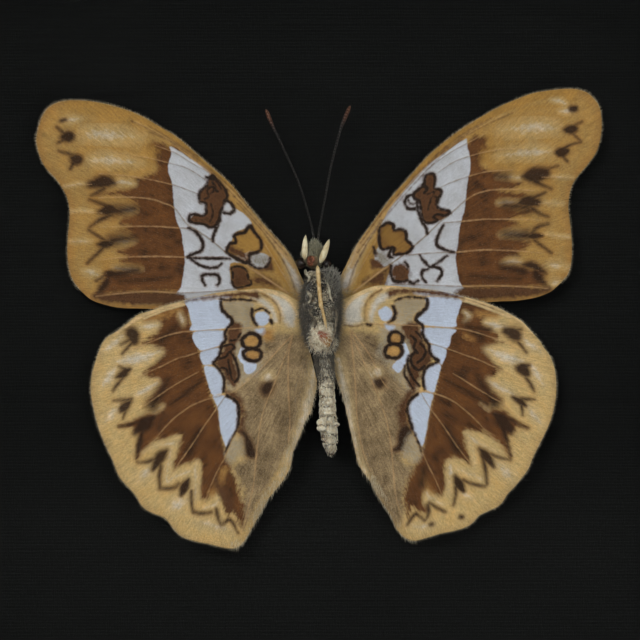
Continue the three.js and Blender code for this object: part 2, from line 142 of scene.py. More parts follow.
class Finish(Tree):
    # a Principled material

    def __init__(self, name):
        self.material = bpy.data.materials.new(name)
        self.material.use_nodes = True
        super().__init__(self.material.node_tree)
        self.shader = self.tree.nodes["Principled BSDF"]

    def set(self, **values):
        for key, value in values.items():
            socket = self.shader.inputs[spaced(key)]
            if isinstance(value, Wire):
                self.tree.links.new(value.socket, socket)
            else:
                socket.default_value = value
        return self.material

    def place(self):
        return self.add("ShaderNodeTexCoord", out="Object")

    def flow(self, *stretch):
        # the piece's own UV map in millimetres, stretched
        return self.vector("MULTIPLY", self.add("ShaderNodeUVMap", {"uv_map": "flow"}), (*stretch, 1))

    def attribute(self, name):
        return self.add("ShaderNodeAttribute", {"attribute_name": name}, out="Fac")

    def noise(self, at, scale, detail=3, roughness=0.5, distortion=0):
        sockets = {"Vector": at, "Scale": scale, "Detail": detail, "Roughness": roughness,
                   "Distortion": distortion}
        return self.add("ShaderNodeTexNoise", {}, sockets, "Fac")

    def cells(self, at, scale, out="Distance"):
        return self.add("ShaderNodeTexVoronoi", {}, {"Vector": at, "Scale": scale}, out)

    def mix(self, factor, first, second, mode="MIX"):
        # between two colours, each a wire or three screen values
        settings = {"data_type": "RGBA", "blend_type": mode}
        first, second = [paint(*c) if isinstance(c, tuple) else c for c in (first, second)]
        sockets = {"Factor_Float": factor, "A_Color": first, "B_Color": second}
        return self.add("ShaderNodeMix", settings, sockets, "Result_Color")

    def shaded(self, colour, level):
        # a colour made darker or lighter by a value
        grey = self.add("ShaderNodeCombineColor", {}, {0: level, 1: level, 2: level})
        return self.mix(1.0, colour, grey, "MULTIPLY")

    def bump(self, height, distance):
        return self.add("ShaderNodeBump", {}, {"Height": height, "Distance": distance, "Strength": 1.0})


def spaced(key):
    # baseColor to Base Color
    special = {"ior": "IOR", "specularLevel": "Specular IOR Level"}
    words = "".join(" " + letter if letter.isupper() else letter for letter in key)
    return special.get(key, words[0].upper() + words[1:])


class Grower(Tree):
    # a Geometry Nodes tree with named inputs

    def __init__(self, name):
        super().__init__(bpy.data.node_groups.new(name, "GeometryNodeTree"))
        self.sockets = {}
        self.tree.interface.new_socket("Geometry", in_out="INPUT", socket_type="NodeSocketGeometry")
        self.tree.interface.new_socket("Geometry", in_out="OUTPUT", socket_type="NodeSocketGeometry")
        self.inlet = self.tree.nodes.new("NodeGroupInput")

    def input(self, name, kind="Float"):
        socket = self.tree.interface.new_socket(name, in_out="INPUT", socket_type="NodeSocket" + kind)
        self.sockets[name] = socket.identifier
        return Wire(self, self.find(self.inlet.outputs, socket.identifier))

    def geometry(self):
        return Wire(self, self.inlet.outputs[0])

    def random(self, low, high, seed):
        sockets = {"Min_001": low, "Max_001": high, "Seed": seed}
        return self.add("FunctionNodeRandomValue", {"data_type": "FLOAT"}, sockets, "Value_001")

    def named(self, name, kind):
        return self.add("GeometryNodeInputNamedAttribute", {"data_type": kind}, {"Name": name})

    def store(self, geometry, name, value, domain):
        return self.add("GeometryNodeStoreNamedAttribute", {"data_type": "FLOAT", "domain": domain},
                        {"Geometry": geometry, "Name": name, "Value": value})

    def finish(self, geometry):
        material = self.input("Material", "Material")
        solid = self.add("GeometryNodeRealizeInstances", {}, {"Geometry": geometry})
        painted = self.add("GeometryNodeSetMaterial", {}, {"Geometry": solid, "Material": material})
        outlet = self.tree.nodes.new("NodeGroupOutput")
        self.tree.links.new(painted.socket, outlet.inputs[0])

    def grow(self, name, seedBed, values):
        # runs the tree on an object, and keeps the outcome as a plain mesh
        modifier = seedBed.modifiers.new(name, "NODES")
        modifier.node_group = self.tree
        for key, value in values.items():
            modifier[self.sockets[key]] = value
        mesh = settled(seedBed)
        seedBed.modifiers.remove(modifier)
        mesh.name = name
        return link(name, mesh)


# Meshes

def place(points):
    # x, z and lift over the board, in millimetres, to where they are in the frame
    points = np.asarray(points, dtype=float)
    x, z, lift = points[..., 0], points[..., 1], points[..., 2]
    return np.stack([x * mm, boardFace - lift * mm, midHeight + z * mm], axis=-1)


def link(name, data):
    piece = bpy.data.objects.new(name, data)
    bpy.context.collection.objects.link(piece)
    return piece


def settled(piece):
    # a copy of a piece's mesh with its modifiers run
    return bpy.data.meshes.new_from_object(piece.evaluated_get(bpy.context.evaluated_depsgraph_get()))


def faceOutwards(mesh):
    work = bmesh.new()
    work.from_mesh(mesh)
    bmesh.ops.recalc_face_normals(work, faces=work.faces)
    work.to_mesh(mesh)
    work.free()


def newMesh(name, points, faces, material=None, flow=None, marks=None, recalculate=True):
    mesh = bpy.data.meshes.new(name)
    mesh.from_pydata(np.asarray(points).reshape(-1, 3).tolist(), [], faces)
    if recalculate:
        faceOutwards(mesh)
    for key, values in (marks or {}).items():
        kind, field = ("FLOAT", "value") if np.ndim(values) == 1 else ("FLOAT_VECTOR", "vector")
        layer = mesh.attributes.new(key, kind, "POINT")
        layer.data.foreach_set(field, np.ravel(values).astype(np.float32))
    if flow is not None:
        corners = np.empty(len(mesh.loops), dtype=np.int32)
        mesh.loops.foreach_get("vertex_index", corners)
        placed = np.ravel(flow[corners]).astype(np.float32)
        mesh.uv_layers.new(name="flow").data.foreach_set("uv", placed)
    mesh.shade_smooth()
    if material:
        mesh.materials.append(material)
    return link(name, mesh)


def wear(piece, slot, *nodes):
    # what every finished piece is told
    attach(piece, "root")
    if nodes:
        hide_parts(*nodes)
    return piece


def readPoints(text):
    return np.array([[float(number) for number in point.split(",")] for point in text.split()])


def curve(points, steps, closed=False):
    # a smooth line through given points, with the same steps between each two
    points = np.asarray(points, dtype=float)
    if closed:
        around = np.vstack([points[-1:], points, points[:2]])
    else:
        around = np.vstack([2 * points[0] - points[1], points, 2 * points[-1] - points[-2]])
    t = np.linspace(0, 1, steps, endpoint=False)[:, None]
    rows = []
    for a, b, c, d in zip(around, around[1:], around[2:], around[3:]):
        rows.append(0.5 * (2 * b + (c - a) * t + (2 * a - 5 * b + 4 * c - d) * t**2
                           + (3 * b - a - 3 * c + d) * t**3))
    if not closed:
        rows.append(points[-1:])
    return np.vstack(rows)


def unit(ways):
    return ways / np.linalg.norm(ways, axis=1)[:, None]


def lengths(line):
    # how far along a line each of its points is
    return np.concatenate([[0], np.cumsum(np.linalg.norm(np.diff(line, axis=0), axis=1))])


def spread(line, count):
    # the same line with evenly spaced points
    reached = lengths(line)
    at = np.linspace(0, reached[-1], count)
    return np.stack([np.interp(at, reached, line[:, i]) for i in range(line.shape[1])], axis=1)


rippleLook = {"waves": 5, "level": 3.2, "fade": 1.7}


def ripple(points, size, seed, octaves=3):
    # smooth wandering between about -1 and 1 over places in millimetres
    rng = np.random.default_rng(seed)
    total = np.zeros(len(points))
    for octave in range(octaves):
        for _ in range(rippleLook["waves"]):
            way = rng.normal(size=points.shape[1])
            way *= 2 ** octave * 2 * math.pi / (size * np.linalg.norm(way))
            wave = np.sin(points @ way + rng.uniform(0, 6.28))
            total += wave / (rippleLook["level"] * rippleLook["fade"] ** octave)
    return total


def gridFaces(rows, columns):
    return [(i * columns + j, i * columns + j + 1, (i + 1) * columns + j + 1, (i + 1) * columns + j)
            for i in range(rows - 1) for j in range(columns - 1)]


def bandFaces(rings, sides):
    # the faces between closed rings of points
    return [(i * sides + j, i * sides + (j + 1) % sides,
             (i + 1) * sides + (j + 1) % sides, (i + 1) * sides + j)
            for i in range(rings - 1) for j in range(sides)]


def ringFaces(rings, sides):
    # the same, closed by a point at each end that comes after the rings
    faces = bandFaces(rings, sides)
    first, last = rings * sides, rings * sides + 1
    for j in range(sides):
        k = (j + 1) % sides
        faces.append((first, k, j))
        faces.append((last, (rings - 1) * sides + j, (rings - 1) * sides + k))
    return faces


def turns(sides):
    return np.linspace(0, 2 * math.pi, sides, endpoint=False)


askew = (0.31, 0.17, 0.93)      # a direction that no limb runs along


def tubeMesh(line, radii, sides, flat=1.0):
    # rings of points round a line, closed to a point at both ends, and its faces
    ahead = unit(np.gradient(line, axis=0))
    side = unit(np.cross(ahead, askew))
    over = np.cross(ahead, side)
    turn = turns(sides)[None, :, None]
    ring = side[:, None] * np.cos(turn) + flat * over[:, None] * np.sin(turn)
    rings = line[:, None] + ring * radii[:, None, None]
    points = np.vstack([rings.reshape(-1, 3), line[:1], line[-1:]])
    return points, ringFaces(len(line), sides)


def joined(parts):
    # several lots of points and faces as one
    points, faces, start = [], [], 0
    for some, their in parts:
        points.append(some)
        faces += [tuple(start + i for i in face) for face in their]
        start += len(some)
    return np.vstack(points), faces


def plump(stations, sides, steps, uneven=0.0, seed=1):
    # a soft form through stations of x, z, lift, half width and half depth
    line = curve(stations, steps)
    turn = turns(sides)
    rings = np.zeros((len(line), sides, 3))
    rings[..., 0] = line[:, :1] + line[:, 3:4] * np.cos(turn)
    rings[..., 1] = line[:, 1:2]
    rings[..., 2] = line[:, 2:3] + line[:, 4:5] * np.sin(turn)
    middle = np.repeat(line[:, None, :3], sides, axis=1).reshape(-1, 3)
    surface = rings.reshape(-1, 3)
    swell = 1 + uneven * ripple(surface, 1.6, seed)
    surface = middle + (surface - middle) * swell[:, None]
    points = np.vstack([surface, line[:1, :3], line[-1:, :3]])
    return points, ringFaces(len(line), sides)


def shell(front, back):
    # a closed skin from two grids of points that share their columns and have their own rows
    rows, columns = front.shape[:2]
    backRows = back.shape[0]
    pace = (rows - 1) // (backRows - 1)
    points = np.vstack([front.reshape(-1, 3), back.reshape(-1, 3)])
    start = rows * columns

    def f(i, j):
        return i * columns + j

    def b(i, j):
        return start + i * columns + j

    faces = gridFaces(rows, columns)
    faces += [(b(i, j), b(i + 1, j), b(i + 1, j + 1), b(i, j + 1))
              for i in range(backRows - 1) for j in range(columns - 1)]
    last, backLast, edge = rows - 1, backRows - 1, columns - 1
    for j in range(edge):
        faces.append((f(0, j), b(0, j), b(0, j + 1), f(0, j + 1)))
        faces.append((f(last, j), f(last, j + 1), b(backLast, j + 1), b(backLast, j)))
    for k in range(backLast):
        chain = range(k * pace, (k + 1) * pace + 1)
        faces.append((*[f(i, 0) for i in chain], b(k + 1, 0), b(k, 0)))
        faces.append((*[f(i, edge) for i in reversed(chain)], b(k, edge), b(k + 1, edge)))
    return points, faces


# The marks on the wings: areas, rings round an area, and lines with a width at each point, all as
# x,z in millimetres from the middle of the board. The number after the kind is how soft the edge
# is, and a ring's second number is its width. Marks of the same kind and edge share one heading.

foreRight = {
    "base": """2.2,4.9 2.2,3.0""",
    "margin": """3.2,5.8 3.6,7 4.2,8.5 5,10.3 7.5,13.8 10,17.2 12.5,20 15,22.8 17.5,25 20,26.9 22.5,28.4
    25,29.8 27.5,30.9 30,31.8 32.5,32.2 35,32.4 37,32.1 38.3,31.2 39.2,29.8 39.5,27.5 39.3,25.5 38.7,23.5
    37.5,21.8 36,20 35.2,18.5 34.8,16 35,14 35.2,12 35.3,10 35.2,8 34.8,6.5 34,5.5 33,4.5 32,3.8 30,3.1
    27.5,2.7 25,2.6 22,2.3 17,1.8 10,1.5 5,2""",
    "brown": """area .35: 18,25.3 20.6,24.6 21,25.2 21.8,26 22.6,25.6 23.8,25.6 23.4,24.6 24.4,24.2
    23.4,23.4 23.2,22.6 22.4,22 23,21.2 24,20.9 25,20.4 25.4,19.7 27,19.5 28.4,19.2 27,18.5 25,18.1
    28.6,17.6 28,17 25.2,16.9 24.8,16.2 26,15.8 28,15.4 30,15.3 28,14.6 26.6,14.1 28,13.4 26.6,12.9
    25.4,12.4 25.6,11.6 27.4,11.3 29.4,10.6 28.6,9.9 27.6,9.4 28,8.9 26,8.7 25.6,8 27,7.7 28.6,7.2 31,6.8
    31.4,6.2 30.9,5.6 31.6,5 29,4.7 20,4.6 18,5""",
    "umber": """area .08: 14.8,20.2 15.4,20.5 16,20.4 16.1,19.3 16,18.5 16.8,18.2 16.9,17.5 16.5,17
    16.4,16 16.8,15.5 17.8,15.3 18.2,15 17,14 16.5,13.9 15.5,13.6 14.6,13.8 14.2,14.9 14.1,15.8 13.9,16.7
    13.2,17 13.1,17.6 13.8,18.3 14.6,19; area .3: 10,6.4 10.3,7.5 11.3,8 12.4,7.4 12.6,6.3 12.2,5.3
    10.8,5.3 | 19.6,4.4 24,4.7 32,4.4 31,3.6 27,3.1 22,2.9 19,3; area .5: 6,5.4 9,7.1 9.8,7.4 9.3,6 9.2,5
    7,4.9; area .25: 7.2,8.6 7,7.8 7.4,7.1 8.6,7.2 9.3,7.4 8.4,8 7.6,8.6; line .35: 22.6,3.6,1 27,3.7,1.3
    32,4.3,.8; line .2: 5.3,9.5,.05 8,13,.06 11,16.6,.06 15,21,.06 19,24.8,.06 23,27.2,.06 27,29,.05 |
    5.7,10.8,.05 8.6,14.9,.06 12,18.7,.06 16,22.8,.06 20,26,.06 24,28.3,.04 | 3.9,4.2,.06 4.7,7,.08
    6.3,10.2,.09 7.9,12.8,.08 8.6,14,.04; line .25: 13,19.9,.05 17,23.4,.14 21,26.4,.12 24,28.1,.04""",
    "cream": """area .35: 2.6,4.8 3.4,7 5,10.2 6.6,12.4 7,12 5.9,9.6 5.2,7 4.5,4.8 3.6,3.6; line .9:
    25.5,26.6,.5 30,27,2.1 32.4,27,1.3 33.3,26.9,.3; line .7: 25,23,.5 29.3,23.5,1.5 31.4,23.6,1
    32.4,23.6,.3; line .3: 24.8,20,.3 26.4,20,.6 28.1,19.9,.4 | 25,16.4,.4 26.4,16.5,.8 27.9,16.5,.4 |
    32.5,30.9,.4 33.6,30.7,.8 34.5,30.3,.4 | 33.6,29.3,.5 34.6,29.3,.9 35.4,29.3,.4 | 32,20.2,.2
    33.6,20,.4 35.4,19.9,.2 | 31,16.4,.2 32.6,16.4,.4 34,16.3,.2 | 31.5,12,.2 33.2,11.8,.4 35,11.6,.2;
    line .4: 25.3,11.9,.3 27,12.1,1 29,11.9,.6; line .35: 25.6,8,.3 26.8,8.2,.9 28.2,8.1,.5 | 3.3,4.6,1
    4.2,7,1.1 5.6,9.6,1 7.6,12.6,.7 10.2,15.9,.4; line .5: 32,7.6,.3 33,7.6,1 34.6,7.4,.3 | 32.2,5.2,.3
    32.8,5.2,1 33.6,5.2,.3""",
    "deep": """line .29: 34.2,26.7,.34 35,26.7,1.18 35.6,26.8,1.01 | 35.6,27.2,.22 36.7,27.8,.11 |
    35.4,26.2,.28 36.5,25.1,.11 | 33,23.5,.34 33.8,23.5,1.34 34.5,23.7,.84 | 31.4,21.1,.34 33.4,21.6,.11 |
    29.9,17.1,.45 31.6,17.9,.17 | 28.9,11.7,.34 30,11.8,1.01 31.1,11.8,.34 | 35.3,29.6,.84 35.7,29.6,.84;
    line .26: 34.2,24.1,.28 35.5,24.7,.17 36.6,24.9,.11 | 34,23,.28 34.7,22.2,.17; line .43: 28.5,20.1,.45
    30,20.3,2.02 31.5,20.6,1.51 | 30.1,7.1,.45 30.4,6.2,1.18 31,5.6,.84 31.6,5,.22; line .36:
    30.2,19.5,.84 31.2,18.9,.34 32.4,18.4,.17 | 27.8,16.4,.34 29,16.6,1.51 30.4,16.5,1.01 | 29.4,15.9,.34
    30.6,15,.34 32,14.5,.17 | 28.4,7.7,.34 29.6,7.7,1.01 30.6,7.2,.84 31.6,6.6,.28; line .32:
    29.6,12.2,.34 30.5,13,.39 32,13.5,.17 | 30,11.2,.34 31.3,10.2,.34 32.4,9.4,.17; line .7: 21,6.2,.3
    25,5.9,.5 28,5.8,.3; line .8: 26,16,.8 29,15.8,1.2 | 26,12,.8 29,11.8,1.2 | 25.5,7.4,.8 28.5,6.8,1.2 |
    24.6,20.2,.5 26,20,.8""",
    "tan": """line .15: 4.4,7.4,.5 6.4,11.6,.9 9,15,.8 11.6,17.9,.7 14,20.4,.6 17,23.2,.5 20,25.7,.5
    23,27.5,.4 26,28.9,.3""",
    "ochre": """line .15: 6,11.4,.7 8,14,1 10,16.6,1 12.5,19.5,1 15,22.2,1 17.5,24.4,1 20,26.3,1.1
    22.5,27.9,1.1 25,29.3,1.1 27.5,30.4,1.1 30,31.2,1.1 33,31.7,.9 36,31.6,.4; line .25: 4.8,4.6,.7
    6.2,7,1.3 7.3,10,1.3 8.2,12.4,.8 | 30,31.9,.5 33,32.1,.6 36,32,.4; area .08: 8.3,12.8 8.9,13.3
    9.5,13.6 10.2,13.4 10.4,12.6 11.2,12.7 12,12.3 12.1,11.3 12.9,10.4 12.8,9.7 12.2,9.2 10.2,9.1 10.4,10
    9.6,10.1 9,9.9 8.5,10.2 8.3,11.2; line .7: 23.4,23,1.8 25.5,22,1.6 29,21.8,1; line .4: 23.8,25.4,.8
    24,23.4,1 24.2,21.6,.9 | 33.8,31.4,.4 35,31.1,.8 36,30.9,.3; line .3: 28,29.4,.3 31,29.9,.4 33.5,30,.3""",
    "line": """ring .07 .38: 14.8,20.2 15.4,20.5 16,20.4 16.1,19.3 16,18.5 16.8,18.2 16.9,17.5 16.5,17
    16.4,16 16.8,15.5 17.8,15.3 18.2,15 17.4,14.6 16.4,14.8 15.9,14.4 16.4,13.9 15.5,13.6 14.6,13.8
    14.2,14.9 14.1,15.8 13.9,16.7 13.2,17 13.1,17.6 13.8,18.3 14.6,19; ring .07 .4: 8.3,12.8 8.9,13.3
    9.5,13.6 10.2,13.4 10.4,12.6 11.2,12.7 12,12.3 12.1,11.3 12.9,10.4 12.7,9.8 12.2,9.4 10.9,9.2 10.3,9.2
    10.4,10 9.6,10.1 9,9.9 8.5,10.2 8.3,11.2; line .07: 13.6,16.6,.43 13.7,15.5,.43 14.2,14,.39
    14.8,12.9,.37 15,12.2,.33 | 13.1,17.6,.33 12.5,17.4,.37 12,17,.37 11.9,16.2,.37 12.4,15.6,.37
    13.3,15.6,.43 | 12.3,16.9,.2 12.6,16.4,.2 13.2,16.2,.2 | 17.3,13.3,.24 16.7,12.2,.37 16.3,11,.43
    16.6,10.3,.43 17.6,9.8,.37 18.8,9.5,.24 | 14,9,.26 14.6,8.2,.37 15.4,7.4,.37 16.3,7.9,.33 17.8,9,.26 |
    14.8,5.3,.26 14.3,6,.37 14.3,6.8,.39 15,7.1,.26 15.8,7.5,.33 16.9,7.1,.43 17,6.4,.39 16.4,5.5,.33 |
    12.6,5.3,.37 13,5.1,.37 13.7,5.5,.33 | 9.9,9.8,.33 9.7,9,.43 10.2,8.7,.33 | 16,17.4,.33 16.4,17,.33
    16.2,16.2,.33; line .1: 10,7.6,.33 9.9,6.6,.37 10.2,5.7,.39 11,5.3,.39 12.3,5.6,.33 | 11.9,8.1,.33
    12.3,7.6,.37 12.2,7.2,.33 | 14.4,19,.43 15,18.4,.53 14.6,17.8,.33 | 15,17.6,.2 16,17.9,.2
    15.4,16.6,.25 15.1,15.4,.2; line .08: 7.5,10.2,.33 7.7,9.6,.33 7.8,9,.2""",
    "vein": """line .06: 4.6,3.8,.34 7,5.7,.34 9,7.2,.34 11.5,9,.32 13,10.2,.3 15,12,.3 17,13.9,.28
    18.4,15,.26 20.3,16.7,.26 22,17.7,.26 24,18.2,.24 27,18.3,.22 30,18.1,.2 | 17.3,13.6,.2 20,13.8,.26
    23,14.1,.24 27,14.1,.22 31,14,.16 | 12.5,9.1,.24 16,9.4,.24 19,9.5,.26 23,9.8,.26 27,9.7,.22
    31,9.4,.16 | 16.7,18.5,.16 18.5,19.3,.18 20.5,20,.22 23.5,20.8,.2 27,21,.18 | 16,20.3,.14 18.5,22,.16
    20.5,22.8,.18 24,23.7,.16 28,24,.14 33,23.5,.1 | 15.5,21.5,.14 18,23.3,.16 20.3,24.6,.16 23,26,.14 |
    10,5,.2 15,4.9,.2 20,4.7,.24 24,4.8,.24 28,4.7,.22 32,4.4,.18 | 3.4,4.2,.3 4.6,5.2,.24 7,9.6,.2
    9.2,13.4,.18; line .08: 31,20,.16 33,20,.16 35.5,19.8,.12 | 30.6,16.3,.16 33,16.3,.18 34.7,16.3,.12 |
    31,12,.14 33,11.8,.16 35.2,11.4,.12 | 31,7.6,.12 33,8.2,.14 35,8.6,.1""",
    "speck": """area .6: 7.8,9.6 9.6,9.4 9.8,8 8,7.7; line .3: 20,3.9,.8 21.6,3.8,1 23,3.5,.6""",
    "pale": """area .1: 10.2,16.2 11.5,17.8 13,19.6 15,21.6 17,23.1 20.2,25.3 20.6,25.2 20.6,24.2
    20.9,23.4 21.1,22 20.9,20.5 20.6,19 20.4,17 20.2,15.2 19.8,14 19.4,12 19.3,10.5 19,9 19.1,7.5 19.3,6.3
    19.6,5.2 20.2,4.2 19,3.6 14,3.9 9.5,4.6 9.3,5.6 10,7.6 8.6,7.3 7.7,8 7.7,9.6 8.2,10.3 8.1,11.5 8.4,13
    9.2,14.6""",
}

